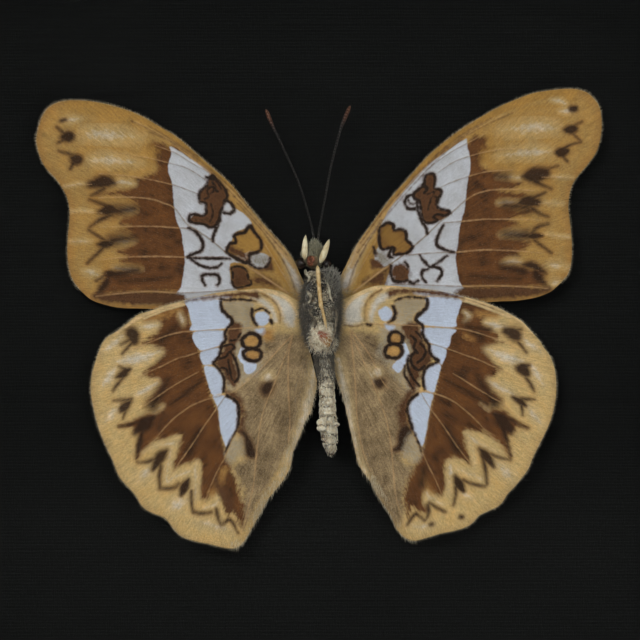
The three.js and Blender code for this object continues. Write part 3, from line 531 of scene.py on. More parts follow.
foreLeft = {
    "base": """-2,4.8 -2,2.8""",
    "margin": """-2.6,5.2 -3.1,6.5 -3.5,8 -5,10.2 -7.5,13 -10,16 -12.5,19 -15,21.3 -17.5,23.5 -20,25.6
    -22.5,27.1 -25,28.6 -27.5,29.6 -30,30.3 -32.5,30.7 -35,30.8 -36.8,30.5 -38.3,29.6 -39.2,28 -39.8,25.5
    -39.6,24 -39,22.3 -38.2,21 -37,19.7 -36,18.3 -35.4,17 -35.1,15.5 -35.1,14 -35.3,12 -35.4,10 -35.3,8
    -35,6.4 -34.3,5 -33.2,3.8 -32,2.8 -30,2.1 -28,1.7 -25,1.6 -20,1.4 -15,1.2 -9,1.2 -5,1.8""",
    "brown": """area .35: -18,24.8 -20.8,24.2 -22.4,25 -23.6,24.8 -24.2,24 -23.4,23 -23,22 -22.6,21
    -24.4,20.2 -26,19.6 -26,18.7 -29,18 -31.4,17.6 -28.6,17.5 -26.6,17.1 -25.6,16.2 -25.7,15.2 -26.4,14.6
    -27.6,14.2 -28,13.4 -26.6,13.1 -28,12.7 -26.6,12.2 -26,11.4 -26,10.8 -26.8,10.2 -28.4,9.5 -27,9
    -28,8.4 -27,8 -25.2,7.6 -25,7 -27,6.7 -29.4,6.6 -30.3,6.4 -30.2,5.4 -31.2,3.6 -28,3.9 -20,4 -18,4""",
    "umber": """area .08: -15,20.2 -14.2,19.4 -13.4,18.5 -13,17.4 -13.4,16.4 -13.9,15.2 -14.1,14.4
    -14.6,13.3 -15.4,13 -16.2,13.4 -17.4,13.6 -18.2,13.8 -17.8,14.6 -17,14.9 -16.2,14.6 -15.9,15.6
    -16,16.4 -16.8,16.6 -16.9,17.6 -16.4,18.3 -15.8,18.9 -15.6,19.8; area .2: -12.4,7.2 -11.6,7.5
    -10.7,7.3 -10.2,6.7 -10,5.8 -9.6,5.1 -10.6,4.7 -11.9,4.6 -12.3,5.4 -12.2,6.4; area .5: -9.4,5.2 -9,6.3
    -7.4,6 -5.6,4.9 -7,4.7; area .3: -19.6,3.7 -24,4 -31.6,3.6 -31,2.8 -27,2.2 -22,2.2 -19,2.6; area .25:
    -7,8.4 -6.5,7.6 -6.6,6.8 -7.8,6.9 -8.8,7.1 -7.6,7.5; line .3: -12.6,10,.9 -11,9.2,1 -10.2,8.4,.6; line
    .35: -26,2.9,1.2 -28,3,1.2 -30.5,3,.9; line .2: -4.5,9,.05 -7.4,12.2,.06 -10.6,15.8,.06 -14.6,20,.06
    -18.6,23.4,.06 -22.6,26,.06 -26.6,28,.05 | -5.2,10.3,.05 -8,13.5,.06 -12,18,.06 -16,21.6,.06
    -20,24.7,.06 -24,27.2,.04 | -3.4,4,.06 -4.4,6.8,.08 -6,9.6,.09 -8,12.4,.09 -9.4,14,.06 -11.6,16.4,.04;
    line .25: -17,22.8,.06 -20.8,25,.14 -24,26.4,.04""",
    "cream": """area .35: -2.2,4.4 -3,6.6 -4,8.8 -6.6,12 -7,11.4 -5.6,9 -4.6,6.4 -3.6,4 -2.8,3.6; line .9:
    -25.5,25.6,.5 -30,26,2.1 -32.4,26,1.3 -33.3,25.9,.3; line .7: -25.2,22,.5 -29.3,22.4,1.5 -31.4,22.4,1
    -32.4,22.4,.3; line .35: -29,19.2,.4 -27.6,19.3,.9 -26,19.1,.4 | -28.7,11,.4 -27.4,11,.9 -26,11,.3 |
    -33.6,28.2,.4 -34.8,28.1,.9 -36,28,.4 | -2.8,4.2,1 -3.7,6.6,1.1 -5.1,9.2,1 -7.4,12.2,.7 -10,15.2,.4;
    line .3: -27.9,15.4,.4 -26.8,15.4,.9 -25.8,15.4,.5 | -29,7.3,.5 -27,7.1,.7 -25,7.1,.3 | -32,15.2,.2
    -33.4,15.3,.4 -35,15.2,.2 | -32,11,.2 -33.4,11,.5 -35,11,.2 | -32.8,19.1,.2 -34.2,19,.4 -35.8,18.7,.2;
    line .4: -33,6.8,.4 -31.8,6.6,1 -30.9,6.3,.5""",
    "deep": """line .36: -34.6,25.7,.34 -35.3,25.7,1.51 -36.2,25.6,.45 | -33.4,22.6,.34 -34.1,22.5,1.51
    -34.8,22.6,.45 | -30.3,18.4,.45 -31.2,17.9,.34 -32.1,17.4,.17 | -28.6,15.5,.34 -29.6,15.4,1.51
    -30.9,15.2,.45 | -29.8,15.9,.45 -31,16.4,.34 -32.3,16.9,.17 | -29,14.8,.45 -30.5,14.2,.45
    -31.6,13.5,.28 -32.3,13,.11 | -28.4,6.3,.34 -29.3,6.5,1.01 -30.2,6.4,.34; line .29: -35.8,26.1,.34
    -36.9,27,.22 | -35.8,25.3,.34 -36.8,24.8,.17 | -35.7,28.1,.34 -36.3,27.9,.34 | -34.6,23.1,.34
    -36.6,23.7,.17 | -34.5,22.1,.45 -35,21.2,.22 | -28.9,10.7,.34 -30,10.65,1.18 -31.1,10.6,.34 |
    -30.2,11.2,.34 -31.5,12,.28 -32.5,12.7,.11 | -30.4,6,.34 -31.3,5.5,.28; line .43: -28.8,19.2,.45
    -30.2,19.4,1.68 -32.1,19,1.01 | -29.6,6,.45 -30,5.2,1.01 -30.6,4.4,.84 -31.2,3.6,.28; line .32:
    -30.3,10.2,.39 -31.3,9.2,.34 -32.6,8,.22; line .7: -21,6,.3 -25,5.6,.5 -28,5.4,.3; line .8:
    -26,15.6,.8 -29,15.2,1.2 | -26,11.6,.8 -29,11.2,1.2 | -25.5,7,.8 -28.5,6.4,1.2""",
    "tan": """line .15: -3.6,7.4,.5 -6.2,10.9,.9 -8.8,14,.8 -11.6,17.1,.7 -14.2,19.6,.6 -17,22,.5
    -20,24.4,.5 -23,26.3,.4 -26,27.8,.3""",
    "ochre": """line .15: -6,11.1,.6 -8,13,1 -10,15.3,1 -12.5,18.3,1 -15,20.7,1 -17.5,22.9,1 -20,25,1.1
    -22.5,26.5,1.1 -25,28,1.1 -27.5,29,1.1 -30,29.7,1.1 -33,30.2,.9 -35.6,30.3,.4; line .25: -4.2,4.8,.7
    -5.6,7.2,1.3 -6.9,9.8,1.3 -8.2,12,.8; area .08: -9.7,13.2 -9.3,12.4 -8.8,11.8 -8.3,11.2 -8.2,10.2
    -8.6,9.6 -9.5,9.3 -9.9,9 -9.9,8.2 -10.3,7.9 -11,8.2 -11.8,8.6 -12.8,9.3 -13,9.9 -12.6,10.7 -11.9,10.8
    -11.8,11.3 -12,11.8 -11.4,12.1 -10.6,12.2 -10.3,12.7; line .7: -23.6,23.6,1.6 -24.4,22.4,1.8
    -26,21.4,1.2 -29,21,.8; line .5: -23,27,.3 -26,27.6,.7 -30,28.8,.9 -34,29.4,.7; line .4: -34,29.6,.5
    -35,29.8,.8 -36,29.7,.3""",
    "line": """ring .07 .38: -15,20.2 -14.2,19.4 -13.4,18.5 -13,17.4 -13.4,16.4 -13.9,15.2 -14.1,14.4
    -14.6,13.3 -15.4,13 -16.2,13.4 -17.4,13.6 -18.2,13.8 -18.3,14.5 -17.6,14.8 -16.6,14.6 -16,14.9
    -15.9,15.6 -16,16.4 -16.8,16.6 -16.9,17.6 -16.4,18.3 -15.8,18.9 -15.6,19.8; ring .07 .42: -9.7,13.2
    -9.3,12.4 -8.8,11.8 -8.3,11.2 -8.2,10.2 -8.6,9.6 -9.5,9.3 -9.9,9 -9.9,8.2 -10.4,8 -11,8.3 -11.8,8.7
    -12.8,9.3 -13,9.9 -12.6,10.7 -11.9,10.8 -11.8,11.3 -12,11.8 -11.4,12.1 -10.6,12.2 -10.3,12.7; line
    .07: -13.4,16.7,.37 -12.8,16.6,.37 -12.2,16,.37 -12,15.4,.37 -12.6,14.9,.37 -13.5,15,.43 |
    -13.9,15.2,.43 -14.1,13.8,.4 -14.5,12.9,.39 -14.9,11.9,.37 -15,11,.26 | -18.4,12.9,.26 -17.4,12.3,.39
    -16.7,11.4,.43 -16.4,10.5,.46 -16.6,9.8,.43 -17.6,9.3,.37 -18.5,8.9,.33 | -18.4,8.8,.35 -17.5,8.1,.37
    -16.6,7.6,.37 -15.6,7.3,.37 -14.4,7.4,.34 -13.8,7.9,.26 | -16.1,4.9,.33 -16.5,5.7,.4 -16.4,6.3,.39
    -15.3,6.4,.37 -14.3,6.2,.4 -14,5.4,.4 -14.4,4.9,.26 | -7,8.6,.2 -7.3,7.6,.33 -8.6,7.2,.24 -9.8,7.8,.33
    -10.2,8.2,.33; line .05: -12.6,8.6,.26 -15,8.6,.26 -18.5,8.7,.22; ring .08 .29: -12.4,7.2 -11.6,7.5
    -10.7,7.3 -10.2,6.7 -10,5.8 -9.6,5.1 -10.6,4.7 -11.9,4.6 -12.3,5.4 -12.2,6.4; line .08: -16.2,16.9,.26
    -15.6,17.4,.33 -15.8,18.2,.24 -15,18.6,.33 -14.4,18,.33 | -15.1,19.3,.2 -14.6,18.6,.33 -15.3,17.7,.2 |
    -15.3,16.4,.2 -15,15,.24 -15.4,13.8,.24 | -15.9,20,.33 -15.2,19.8,.43 -14.6,19.6,.26 -13.8,18.4,.33""",
    "vein": """line .06: -4.4,3.7,.34 -6.4,5.1,.34 -8.4,6.4,.34 -10.4,7.7,.32 -12.6,9,.3 -15,11,.3
    -17,12.4,.28 -18.6,13.4,.26 -20.3,15.6,.24 -22,16.4,.26 -24,17,.24 -27,17.2,.22 -31,17.1,.18 |
    -17.2,12.8,.2 -20,12.9,.26 -23,13.1,.24 -27,13.1,.22 -31,13,.16 | -12.6,8.8,.2 -16,8.8,.2 -19,8.8,.26
    -23,8.9,.26 -27,8.8,.22 -31,8.4,.16 | -16.9,17.6,.16 -18.5,18.2,.18 -20.5,18.9,.22 -23.5,19.6,.2
    -27,20.2,.18 -31,20.5,.12 | -16,19.6,.14 -18.5,21.2,.16 -20.8,21.9,.18 -24,22.7,.16 -26,23,.1 |
    -15.5,20.6,.14 -18,22,.16 -20.3,23.4,.16 -23,24.4,.12 | -10,4.6,.2 -15,4,.2 -20,3.8,.24 -24,4,.24
    -28,3.7,.22 -31.4,3.3,.18 | -3,3.6,.3 -4.2,4.8,.24 -6.6,8.8,.2 -9,12.6,.18; line .08: -32,19,.16
    -34,18.9,.16 -36,18.7,.12 | -30.6,15,.16 -33,15.1,.18 -35,15,.12 | -31,11,.14 -33,11,.16 -35.2,11,.12""",
    "speck": """area .6: -7.4,9 -9.6,9.2 -9.6,8 -7.6,7.6; line .3: -20,3.1,1 -23,2.8,1.2 -26,2.6,.8""",
    "pale": """area .1: -20.9,24.3 -18,22.5 -15.5,20.7 -13.8,17.8 -12.3,16 -10.6,14.8 -9.6,13.7 -10,13
    -11.8,12.3 -12.4,11 -13.2,9.9 -12,9 -10.3,9.4 -9.7,9.6 -7.8,9.3 -7,8.6 -7.2,7.4 -8.8,7.2 -10.2,7.8
    -12.4,8 -12.6,6.5 -12.3,4.9 -12,3.8 -19.6,2.9 -20.3,3.4 -19.6,4.4 -19.3,5.4 -19.1,6.8 -18.9,8.2
    -19,9.4 -19.2,10.8 -19.4,12.2 -19.9,13.4 -20.2,14.6 -20.4,15.8 -20.5,17 -20.6,18.2 -20.8,19.5
    -21.2,20.6 -21.3,21.6 -21,22.6 -20.8,23.4""",
}

hindRight = {
    "base": """1.6,2.2 1.6,-3.8""",
    "margin": """3.1,2.3 4.2,3.1 5,3.7 6.5,4.4 8,4.8 10,4.8 12,4.6 15,4.3 17.5,3.9 20,3.3 22.5,2.6 25,1.7
    28,0 29.5,-1.5 30.8,-3 31.3,-3.8 32.3,-5.2 32.9,-7 33.1,-9 33,-11 32.6,-13 32,-14.8 31.2,-16.5
    30.3,-18.3 29.8,-19.3 29.2,-20.8 28.2,-22.2 27.2,-23.4 26.3,-24.3 25.6,-25.4 24.8,-26.2 23.5,-26.8
    22.3,-27.4 21.5,-28.3 20.5,-29 19,-29.5 17,-29.9 15,-30.5 13.5,-30.9 12.3,-30.7 11.2,-29.8 10.5,-28.8
    10,-27.5 9.2,-26.2 8,-24.5 7,-22.6 6,-21.2 5.3,-19.9 5,-18.5 4.5,-16.5 4,-14 3.4,-11.5 2.6,-9 2.1,-7.5""",
    "brown": """area .35: 19.3,2.7 20,2.5 22,2.2 24,1.3 25,.8 23.6,.3 22.8,-.4 23.6,-1.2 24.8,-1.9 25,-2.5
    24.4,-2.9 25.6,-3.2 24,-3.6 23.2,-4.2 23.9,-5.2 24.4,-6 25.4,-6.8 24.8,-7.2 24.4,-8 23.4,-8.4
    23.8,-9.2 24.2,-10 25.4,-11 24.4,-11.4 23.8,-12 24.6,-12.4 25.8,-12.6 26.6,-13.4 27.8,-14.2 29.2,-15.1
    27.4,-15 26.9,-15.8 26.2,-16.4 26.8,-19 25.8,-18.2 25,-17.2 23.4,-16 22.2,-15.6 20.4,-15.4 20.2,-16.4
    20.6,-18 21,-19.6 21.2,-20.4 20.2,-19.6 18.8,-19.2 17.8,-19.6 17.5,-21 17.6,-23.6 17,-24.4 16.6,-24.6
    15.4,-24 14.6,-24.2 14.4,-25.4 15,-26.8 14,-27 13,-26.2 12.3,-27.6 12,-26 11.6,-25 12.4,-22.6
    13.4,-20.4 14.2,-18.6 14.8,-15.8 15.2,-13 15.8,-10.6 16.4,-8 16.8,-6.4 17.4,-4 18.4,-1.6 19,.4""",
    "umber": """area .25: 13,-4.2 14,-3.6 15.2,-4.8 15.6,-5.6 14.8,-6.6 13.6,-7 12.9,-6.6 12.7,-5.4; area
    .4: 13.6,-9.9 12.6,-11.2 12.2,-12.6 12.4,-14.2 11.2,-14.8 10.8,-13 11.6,-11 12.8,-9.6; area .3:
    9.8,4.3 14.6,4.3 19,3.6 20,2.9 17,3.3 13.5,3.7 11,3.6 9.6,3.2 | 11.4,-1 13.2,-.2 14,-1 14,-2.2
    14.8,-3.4 15.7,-5.6 14.3,-7 13.7,-8.8 13.1,-10.2 12.5,-9.2 12.3,-7.6 12.8,-5.8 12.9,-4.2 12.2,-2.8;
    line .2: 6.2,-.2,.05 6.2,1.4,.06 6.9,3.1,.06 8.6,4.3,.04 | 3.4,-.7,.08 5,-.9,.06 6.4,-.4,.06""",
    "cream": """area .35: 3.2,1.8 4.4,3.1 6.2,4.1 7.6,4.3 6.6,2.8 6.1,1.2 6.2,-.2 4.8,-.9 3.4,-.8 3,.4;
    area .3: 6.7,-.3 6.8,1.6 7.8,3.4 9.6,4.2 11,4 9.6,2.8 8.4,1.8 7.8,.4 7.6,-.4; line .3: 20.3,1.1,.5
    20.7,.6,.8 20.3,-.2,.4 | 14.8,-24.2,.21 15.6,-24.9,.49 17.2,-25.9,.42 | 18.2,-20.2,.5 18.3,-21.4,.9 |
    14.9,-24.1,.4 15.2,-25,.7; line .35: 23.2,-.3,.5 24.4,-.7,1.2 26.2,-1,.5 | 20.5,-15.9,.35
    21.5,-16.8,.56 23.4,-17.8,.42 25.2,-18.7,.21 | 20.9,-17,.28 21.5,-18.8,.35 21.7,-20.6,.28 |
    18.1,-19.9,.28 18.4,-21,.63 18.1,-22.6,.35 18,-24.4,.28 | 18.9,-20.7,.35 21,-21.6,.56 22.6,-22.3,.35;
    line .5: 23.4,-4,.6 24.8,-4.8,1.4 26.4,-5.3,1.9 28.4,-5.7,.9 | 28,-2.2,.5 29.6,-3.6,1.2 31,-4.6,.5 |
    29.5,-6,.5 30.3,-7.4,1.5 31.2,-9,.5 | 2.6,-5.5,1 3.2,-9,1.5 3.9,-12.5,1.4 4.7,-16,.9 5.4,-19.4,.6
    7.4,-23,.4; line .4: 23.6,-8.4,.5 24.8,-9.3,1.2 26.2,-10,.9 27.2,-10.6,.4 | 19.8,-24.2,.4
    20.6,-24.6,.9 21.2,-25,.4; line .25: 22.5,-11.6,.3 23.7,-12.5,.4; line .6: 29,-12,.4 30,-13.4,1.4
    31,-14.6,.5 | 12.6,-28.8,.4 14,-29,1.2 15.6,-28.6,.4 | 6.6,-7,.6 7.6,-8.4,.9 8.4,-10,.4; line .7:
    24.8,-20,.5 26,-21.2,1.6 27,-22.4,.4; area .4: 7.6,-6.6 8.6,-6.8 8.7,-7.8 8,-8.3 7.4,-7.6""",
    "deep": """line .43: 26,-1.5,.84 27.2,-2,1.68 27.8,-2.8,.45 | 24.6,-13.2,.84 25.6,-14.2,1.85
    26.8,-15.6,.84; line .29: 26.8,-1.4,.34 28.2,-1.3,.22 | 27.7,-3,.34 28.9,-4.5,.17 | 28.3,-6.5,.84
    29.4,-6.3,.22 | 28.8,-8,.28 29.6,-9.2,.28 30,-10,.11 | 27,-10.8,.28 28,-11.4,.84 28.8,-12,.28 |
    28,-11.1,.45 29.2,-11.1,.34 30.1,-11.1,.11 | 26.6,-13.9,.45 28.2,-14.8,.34 29.2,-15.1,.11 |
    23.4,-18.6,.34 25,-19.2,.34 26.7,-19.6,.17 | 18.9,-21.9,.45 19.5,-23,1.25 20.1,-23.9,.45 |
    20,-22.4,.28 21.5,-23,.28 23.1,-23.3,.17 | 19,-23.4,.34 19,-24.6,.34 18.7,-25.9,.17 | 15.1,-25.9,.34
    15.2,-27,.39 14.8,-28,.17 | 15.3,-25.6,.22 16.4,-26.3,.34 17.5,-26.9,.17 | 12.2,-28.7,.22 13,-27.5,.39
    13.6,-27.2,.34 14.6,-28.1,.17 | 19.7,-27.6,.45 19.9,-27.6,.45 | 15.5,-28.6,.45 15.7,-28.6,.45; line
    .32: 27.5,-6.7,.34 28.5,-7,1.51 29.2,-7.8,.28 | 25.6,-15,.84 26.2,-17,.45 26.7,-19.1,.17 |
    22.6,-18.8,.34 23.1,-20.5,.45 23.4,-22.9,.17; line .26: 28.2,-12,.34 28.4,-13.3,.17; line .6:
    17.6,-8.3,.3 21,-10.3,.6 23.5,-11.8,.3; line .36: 22.3,-18,.34 23.3,-19,1.18 24.3,-20.5,.34 |
    20,2.35,.34 22,2.1,.45 24,1.6,.34; line .5: 21.2,-1,.4 23.6,-1.4,.6; area .3: 11.8,-14.6 12.7,-15.2
    12.8,-15.8 12,-16.6 11.6,-18 10.4,-18.4 10.1,-18.1 10.9,-17.4 11,-16; area .4: 7.6,-8.4 8.8,-8.2 9,-9
    8.4,-9.6 7.7,-9.2; line .8: 17.6,-15,.8 19.2,-18,1.2 | 22,-8,.6 24.4,-11.6,1.4 | 14.6,-20.6,.6
    14.2,-23,1 | 20.4,-.6,.5 22.6,-2.4,1.2""",
    "tan": """line .12: 3.1,1,.3 4.2,2.6,.4 6,3.9,.45 8.4,4.5,.45 12,4.4,.4 16,4.05,.4 20,3.2,.4 24,2,.4
    27.5,.3,.4 30,-2,.3 | 15,3.4,.3 18,3.2,.4 21,2.5,.4 24,1.4,.36 26.6,.4,.3""",
    "ochre": """area .1: 10,-3.1 9.75,-2.5 10.1,-1.9 10.8,-1.85 11.4,-2.3 11.3,-3 10.7,-3.3 | 9.3,-4.3
    9.6,-3.7 10.3,-3.5 11.1,-3.8 11.3,-4.4 10.9,-5 10.1,-5.1 9.5,-4.9; line .25: 6.4,.2,.3 6.4,1.8,.4
    7.2,3.3,.4 8.6,4.3,.3; line .5: 22,.9,.6 24.6,.5,.7 | 14.4,-21.8,.6 14.9,-23.4,.8 15.6,-24.4,.5; line
    .4: 20.4,-2.2,.6 21.4,-2.6,.8 | 8.8,4.5,.2 13,4.1,.3 18,3.4,.25""",
    "line": """ring .08 .45: 9.85,-3.2 9.6,-2.5 10,-1.8 10.8,-1.7 11.5,-2.2 11.5,-3 10.8,-3.4; ring .08
    .47: 9.1,-4.3 9.5,-3.6 10.3,-3.35 11.2,-3.6 11.5,-4.4 11.1,-5.1 10.1,-5.3 9.3,-5; line .1: 15,2.9,.33
    15,2,.43 14.5,1.3,.46 13.6,.6,.43 13.4,0,.39 14.2,-.6,.33 14.4,-1.2,.39 14.3,-2,.37 14.9,-3,.43
    15.3,-3.6,.43 15.3,-4.4,.39 15.9,-5.3,.39 16.6,-5.8,.33 15.2,-6.4,.37 14.6,-7.2,.37 14.4,-8.4,.37
    14.6,-9.6,.33 | 12.7,-2.2,.33 13.4,-2.9,.37 13.1,-3.8,.37 13.6,-4.6,.33 | 13.2,-4.4,.37 12.7,-5.4,.39
    13,-6.4,.39 13.8,-7,.37 14.6,-6.4,.33 | 14.2,-3.4,.26 14.8,-4.4,.37 14.3,-5.4,.43 13.6,-6,.33 |
    12.4,-5,.26 12.2,-6.2,.37 12.6,-7.4,.39 13.2,-8.4,.33 13.9,-9.2,.26 | 11.9,-6.4,.2 11.8,-7.6,.24
    12.4,-8.6,.26 13,-9.6,.2 | 13.4,-1.6,.26 14.2,-2.6,.33 14,-3.4,.26 | 10.2,1.9,.33 10.5,1,.43
    10.2,.1,.43 9.6,-.4,.24 | 6.6,-.6,.33 7.1,-.8,.33 | 12.6,-14.8,.2 13.3,-16,.16 14.2,-18.4,.12; line
    .12: 13.6,-10.4,.33 12.6,-11.2,.39 12.2,-12.4,.43 12.4,-13.6,.39 12.9,-15.2,.33 | 10.4,2.7,.16
    12,3.2,.2 14,3.1,.22 15,3,.2""",
    "vein": """line .06: 6,-.5,.16 10,-.6,.14 15,-.9,.2 18.5,-1.1,.22 21,-1.5,.24 25,-2.8,.22 28,-4.2,.14
    | 17.8,-4,.2 20,-4.8,.22 22,-5.5,.22 24,-6.4,.2 26,-7.3,.18 28,-8.3,.16 29.5,-9.1,.12 | 15.3,-3.2,.2
    17.8,-4,.2 | 18.6,-7.5,.14 20,-8.3,.2 22,-9.6,.22 24,-10.8,.2 26,-12,.18 27.5,-13.4,.16 28.5,-14.3,.12
    | 27,-15.8,.16 28.3,-17,.2 29.9,-18.9,.16 | 13.6,-9.9,.2 16,-10.3,.24 17.5,-10.8,.24 19,-11.6,.22
    20.5,-12.8,.22 22,-14.2,.2 23.5,-15.8,.18 25,-17.3,.16 26.6,-19.2,.12 | 14,-10,.2 15.3,-12.2,.22
    16.5,-13.8,.22 17.8,-15.6,.22 19,-17.4,.2 20.2,-19,.18 21.3,-20.4,.14 | 12.9,-15.4,.12 14.3,-18.5,.2
    15.2,-20.5,.2 16,-22,.18 17,-24.3,.14; line .1: 4.2,-1.4,.3 4.7,-6,.26 5,-10,.26 5.2,-14,.26
    5.9,-18,.24 7,-21,.16 | 4.5,-1.6,.3 7,-5,.22 9,-9,.16 11.4,-10.4,.1 | 4.4,-2,.2 6.6,-7,.2 9,-13,.2
    10,-18,.26 10.5,-24,.26 11.5,-28,.22 12,-29.6,.12 | 24.6,-20.8,.1 25.6,-22,.14 26.4,-23,.1""",
    "speck": """area .3: 10.4,2.4 12,3 14.6,2.9 14.7,2 14.1,1.3 13.2,.6 13,-.3 14,-.8 10.6,-.8 10.4,.4;
    area .5: 8.8,-.8 13.8,-1 14.4,-3 14.9,-5 14,-8.6 13.2,-10.4 11.4,-9 9,-6 8,-5 8.4,-2.6 | 12.9,-15.8
    12.3,-16.3 11.8,-17.3 11.7,-18.6 12.4,-19.6 13.8,-19.8 14.2,-18.4 13.8,-16.8""",
    "hoar": """area .6: 2.4,-2.4 5,-1.6 8,-2.2 9.4,-5.4 11,-8 13.4,-10.6 12,-13 12.4,-15.6 11.6,-19.6
    13.4,-20.4 11.8,-24 11,-29 5.6,-21 4,-14 2.2,-8""",
    "pale": """area .1: 14.9,3.2 19.5,3 19.5,1.5 19,0 18.8,-1 15.2,-.8 14.2,-.5 13.5,0 13.6,.6 14.5,1.3
    15,2 | 14.4,-1.1 18.8,-1.3 18.4,-2.2 17.7,-4 15.1,-3.1 14.3,-2 | 15.2,-3.4 17.6,-4.1 17.2,-6 16.8,-6.1
    15.9,-5.2 15.4,-4.3 | 16.2,-6 15,-6.6 14.5,-7.5 14.5,-8.5 14.7,-9.6 15.9,-10.1 16.4,-8.5 16.9,-6.5 |
    11.3,-2.9 11.9,-3.2 12.4,-4.2 12.5,-5.2 11.9,-6.3 11,-7.4 10.1,-6.6 10.6,-5.8 11.3,-5.2 11.7,-4.2;
    area .12: 15.8,-10.4 14.3,-10.1 13.5,-10.6 12.7,-11.3 12.3,-12.2 12.4,-13.5 12.8,-15 13.6,-16.6
    14.3,-17.6 14.9,-15.5 15.2,-13.5 15.5,-11.8; area .14: 8.1,1 8.5,1.6 9.4,1.9 10.1,1.2 10.1,.4 9.5,-.1
    8.6,0; area .25: 9,-.6 10.4,-.8 10.2,-1.6 9.4,-1.4; area .2: 13.4,4 19.6,3.9 19.8,3.3 17,3.4 14,3.5""",
}

